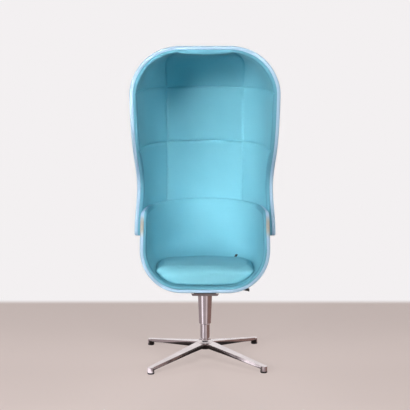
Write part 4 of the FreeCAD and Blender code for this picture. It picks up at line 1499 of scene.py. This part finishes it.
def open_points(piece: Piece) -> Array:
    """Finds the free edges of a surface of four-sided faces.

    Args:
        piece: the surface.

    Returns:
        The numbers of the vertices on them.
    """
    keys = np.array([polygon.edge_keys for polygon in piece.data.polygons]).reshape(-1, 2)
    keys, counts = np.unique(keys, axis=0, return_counts=True)
    return np.unique(keys[counts == 1])


# Upholstery


@dataclass
class Hood:
    """The tall hood: a covered shell and its sewn lining."""

    half_width: float = 0.300
    back_y: float = 0.300
    height: float = 1.400
    fall: float = math.radians(3.6)
    front_y: float = -0.300
    corner_radius: float = 0.205
    shell_wall: float = 0.015
    cloth_gap: float = 0.0003
    liner_wall: float = 0.013
    waist: tuple[float, float] = (-0.056, 0.778)
    canopy: tuple[tuple[float, float], ...] = ((0.086, 0.378), (0.471, 0.720))
    wing: tuple[float, float] = (0.43, 0.41)
    wing_front_y: float = -0.158
    wing_low_z: float = 0.588
    wing_tip_radius: float = 0.012
    back_low_z: float = 0.512
    liner_low_z: float = 0.655
    liner_wing_y: float = -0.040
    liner_wing_step: float = 0.035
    seam_x: float = 0.194
    seam_front_x: float = 0.114
    seam_turn_y: float = 0.120
    cross_z: tuple[float, float] = (0.964, 1.220)
    cross_drop: tuple[float, float] = (0.010, 0.015)

    def cap_z(self, y: Array) -> Array:
        """Height of the falling top at a depth."""
        return self.height - (y - self.front_y) * math.tan(self.fall)

    def side_view(self) -> tuple[Array, Array]:
        """The free edge and the lower edge in side view.

        Returns:
            Depths and heights of the front edge, and of the lower edge.
        """
        top = np.array([self.front_y, self.height])
        waist = np.array(self.waist)
        tip = np.array([self.wing_front_y, self.wing_low_z])
        back = np.array([self.back_y, self.back_low_z])
        arcs = turn_between(tip + (0, 1), tip, back, self.wing_tip_radius)
        start = arcs[0][0]
        points = [top] + [top + np.array(share) * (waist - top) for share in self.canopy]
        points += [waist, waist + np.array(self.wing) * (start - waist), start]
        down = np.array([0.0, -1.0])
        free = smooth_through(np.array(points), down, down)
        return (np.concatenate([free, arcs[0][1:]]),
                np.concatenate([arcs[1], straight(arcs[1][-1], back)[1:]]))

    def shell(self, free: Array, far: Array) -> BentShell:
        """The hood's surface between two edges.

        Args:
            free: depths and heights of the front edge.
            far: depths and heights of the lower edge.

        Returns:
            The surface.
        """
        return BentShell(PlanCurve(self.half_width, self.back_y), self.corner_radius, self.cap_z,
                         1.0, free, far, self.seam_x, self.seam_front_x, self.seam_turn_y,
                         cross_z=self.cross_z, cross_drop=self.cross_drop)

    def build(self) -> None:
        """Builds the covered shell and the lining."""
        free, far = self.side_view()
        self.shell(free, far).upholster("hood_cover", "hood_shell", (0.0, self.shell_wall))
        wing = far[far[:, 0] < self.liner_wing_y - self.liner_wing_step]
        step = np.array([self.liner_wing_y, self.liner_low_z])
        back = np.array([self.back_y, self.liner_low_z])
        far = np.concatenate([wing, straight(wing[-1], step)[1:], straight(step, back)[1:]])
        start = self.shell_wall + self.cloth_gap
        lining = self.shell(free, far).upholster(
            "hood_lining", "hood_liner", (start, start + self.liner_wall), Relief(), lining=True)


@dataclass
class Tub:
    """The seat tub: a covered shell and its plain padded lining."""

    half_width: float = 0.2685
    back_y: float = 0.260
    base_z: float = 0.360
    rim_z: float = 0.695
    corner_radius: float = 0.182
    shell_wall: float = 0.015
    cloth_gap: float = 0.0003
    liner_wall: float = 0.012
    liner_proud: float = 0.0015
    liner_raised: float = 0.0045
    front_low_y: float = -0.282
    front_high_y: float = -0.195
    arm_radius: float = 0.060
    spine_x: float = 0.130
    spine_front_x: float = 0.110
    spine_turn_y: float = 0.080
    cell: float = 0.014

    def cap_z(self, y: Array) -> Array:
        """Height of the level floor."""
        return np.full(np.shape(y), self.base_z)

    def side_view(self, proud: float, raised: float) -> tuple[Array, Array]:
        """The front edge and the rim in side view.

        Args:
            proud: how far the front edge stands out.
            raised: how far the rim stands up.

        Returns:
            Depths and heights of the front edge, and of the rim.
        """
        low = np.array([self.front_low_y - proud, self.base_z])
        high = np.array([self.front_high_y - proud, self.rim_z + raised])
        back = np.array([self.back_y, self.rim_z + raised])
        arcs = turn_between(low, high, back, self.arm_radius)
        return (np.concatenate([straight(low, arcs[0][0])[:-1], arcs[0]]),
                np.concatenate([arcs[1], straight(arcs[1][-1], back)[1:]]))

    def shell(self, proud: float = 0.0, raised: float = 0.0) -> BentShell:
        """The tub's surface up to its edges.

        Args:
            proud: how far its front edge stands out.
            raised: how far its rim stands up.

        Returns:
            The surface.
        """
        return BentShell(PlanCurve(self.half_width, self.back_y), self.corner_radius, self.cap_z,
                         -1.0, *self.side_view(proud, raised), self.spine_x, self.spine_front_x,
                         self.spine_turn_y, self.cell)

    def build(self) -> None:
        """Builds the covered shell and the lining."""
        self.shell().upholster("tub_cover", "tub_shell", (0.0, self.shell_wall))
        start = self.shell_wall + self.cloth_gap
        lining = self.shell(self.liner_proud, self.liner_raised).upholster(
            "tub_lining", "tub_liner", (start, start + self.liner_wall), lining=True)


@dataclass
class Cushion:
    """The loose crowned seat cushion."""

    half_width: float = 0.2108
    voxel: float = 0.005
    merge: float = 0.00002
    easing: int = 12
    corner_rise: float = 0.010
    corner_low_z: float = 0.385
    corner_fade: float = 0.020
    corner_x: float = 0.08
    corner_x_fade: float = 0.12
    corner_y: float = -0.22
    corner_y_fade: float = 0.10
    front_easing: int = 70
    front_easing_share: float = 0.01
    front_low_z: float = 0.398
    front_fade: float = 0.02
    front_y: float = -0.10
    front_y_fade: float = 0.06
    fullness: float = 5.0
    most_swell: float = 0.005
    swell_frames: int = 20
    swell_slope: float = 1.4
    resting_depth: float = 0.012

    def build(self) -> None:
        """Builds the cushion over its CAD solid, softened and filled."""
        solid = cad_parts["seat_cushion"]
        cushion = bpy.data.objects.new("cushion", solid.data.copy())
        bpy.context.scene.collection.objects.link(cushion)
        edit(cushion, bpy.ops.mesh.remove_doubles, threshold=self.merge)
        modify(cushion, "REMESH", mode="VOXEL", voxel_size=self.voxel)
        modify(cushion, "SMOOTH", factor=0.5, iterations=self.easing)
        apply_modifiers(cushion)
        self.soften(cushion)
        self.fill(cushion)
        points = points_of(cushion)
        points[:, 0] *= self.half_width / np.abs(points[:, 0]).max()
        move_points(cushion, points)
        subdivide_surface(cushion)
        lay_uv(cushion)
        dress(cushion, Slot.PAD_FABRIC, Body.SEAT, "seat_cushion")

    def soften(self, cushion: Piece) -> None:
        """Plumps up the ends of the top and eases its front edge.

        Args:
            cushion: the remeshed cushion.
        """
        points = points_of(cushion)
        upward = np.clip((points[:, 2] - self.corner_low_z) / self.corner_fade, 0, 1)
        ends = np.clip((np.abs(points[:, 0]) - self.corner_x) / self.corner_x_fade, 0, 1)
        behind = np.clip((points[:, 1] - self.corner_y) / self.corner_y_fade, 0, 1)
        points[:, 2] += self.corner_rise * upward * behind * ends * ends * (3 - 2 * ends)
        move_points(cushion, points)
        share = (np.clip((points[:, 2] - self.front_low_z) / self.front_fade, 0, 1)
                 * np.clip((self.front_y - points[:, 1]) / self.front_y_fade, 0, 1))
        group = cushion.vertex_groups.new(name="front_edge")
        for index in np.flatnonzero(share > self.front_easing_share):
            group.add([int(index)], float(share[index]), "REPLACE")
        modify(cushion, "SMOOTH", factor=0.5, iterations=self.front_easing,
               vertex_group="front_edge")
        apply_modifiers(cushion)

    def fill(self, cushion: Piece) -> None:
        """Lets the cover swell a little under its filling, within a limit.

        Args:
            cushion: the remeshed cushion.
        """
        before = points_of(cushion)
        outward = read(cushion.data.vertex_normals, "vector")
        low = before[:, 2] < before[:, 2].min() + self.resting_depth
        group = cushion.vertex_groups.new(name="resting")
        group.add([int(index) for index in np.flatnonzero(low)], 1.0, "REPLACE")
        cloth = cushion.modifiers.new("filling", "CLOTH")
        cloth.settings.use_pressure = True
        cloth.settings.uniform_pressure_force = self.fullness
        cloth.settings.effector_weights.gravity = 0.0
        cloth.settings.vertex_group_mass = "resting"
        for step in range(1, self.swell_frames + 1):
            bpy.context.scene.frame_set(step)
        shape = cushion.evaluated_get(bpy.context.evaluated_depsgraph_get())
        moved = read(shape.data.vertices, "co") - before
        cushion.modifiers.remove(cloth)
        bpy.context.scene.frame_set(1)
        length = np.maximum(np.linalg.norm(moved, axis=1), 1e-9)
        limit = self.most_swell * np.clip(outward[:, 2] * self.swell_slope, 0.0, 1.0)
        move_points(cushion, before + moved * (np.minimum(length, limit) / length)[:, None])


@dataclass
class CushionTab:
    """The webbing tab between the cushion and the tub's lining."""

    centre_x: float = 0.124
    width: float = 0.018
    low_z: float = 0.424
    high_z: float = 0.454
    thickness: float = 0.0022
    gap: float = 0.0006
    edge_round: float = 0.0009
    columns: int = 8
    rows: int = 10
    first_run: float = 0.05
    last_run: float = 0.45
    run_count: int = 400

    def build(self, tub: Tub) -> None:
        """Builds the tab.

        Args:
            tub: the tub whose lining the tab lies on.
        """
        skin = tub.shell()
        inset = tub.shell_wall + tub.cloth_gap + tub.liner_wall + self.gap
        deselect_all()
        bpy.ops.mesh.primitive_grid_add(x_subdivisions=self.columns, y_subdivisions=self.rows)
        tab = bpy.context.object
        tab.name = "cushion_tab_webbing"
        flat = points_of(tab)
        height = self.low_z + (flat[:, 1] + 1) / 2 * (self.high_z - self.low_z)
        turn = np.arcsin((tub.base_z + skin.radius - height) / (skin.radius - inset))
        rise = turn * skin.radius
        runs = np.linspace(self.first_run, self.last_run, self.run_count)
        highest = np.full(self.run_count, rise.max())
        widths = skin.place(np.stack([runs, highest], axis=1), inset)[:, 0]
        run = np.interp(self.centre_x, widths, runs) + flat[:, 0] * self.width / 2
        move_points(tab, skin.place(np.stack([run, rise], axis=1), inset))
        modify(tab, "SOLIDIFY", thickness=self.thickness, offset=1.0)
        modify(tab, "BEVEL", width=self.edge_round, segments=3, limit_method="ANGLE")
        apply_modifiers(tab)
        lay_uv(tab)
        dress(tab, Slot.BLACK_WEBBING, Body.SEAT, "cushion_tab")


@dataclass
class LeverGrip:
    """The moulded grip at the end of the height lever."""

    centre: Place = (0.1735, 0.0, 0.3185)
    length: float = 0.052
    width: float = 0.014
    height: float = 0.011
    cuts: int = 5
    slim: float = 0.82
    flare: float = 0.30
    droop: float = math.radians(10.0)
    edge_round: float = 0.0032

    def build(self) -> None:
        """Builds the grip from a cube that widens and droops outwards."""
        deselect_all()
        bpy.ops.mesh.primitive_cube_add(size=1)
        grip = bpy.context.object
        grip.name = "lever_grip_moulding"
        edit(grip, bpy.ops.mesh.subdivide, number_cuts=self.cuts)
        points = points_of(grip)
        taper = self.slim + self.flare * (points[:, 0] + 0.5)
        points = points * np.array([self.length, self.width, self.height])
        points[:, 1:] *= taper[:, None]
        down = points[:, 0] * math.sin(self.droop)
        points[:, 0] *= math.cos(self.droop)
        points[:, 2] -= down
        move_points(grip, points + np.array(self.centre))
        modify(grip, "BEVEL", width=self.edge_round, segments=3, limit_method="ANGLE")
        apply_modifiers(grip)
        subdivide_surface(grip)
        dress(grip, Slot.BLACK_NYLON, Body.LEVER, "lever_grip")


def main() -> None:
    """Builds the studio and the whole chair."""
    logging.basicConfig(level=logging.INFO, format="%(message)s")
    deselect_all()
    Studio().build()
    Metalwork().build()
    Hood().build()
    tub = Tub()
    tub.build()
    Cushion().build()
    CushionTab().build(tub)
    LeverGrip().build()


if __name__ == "__main__":
    main()
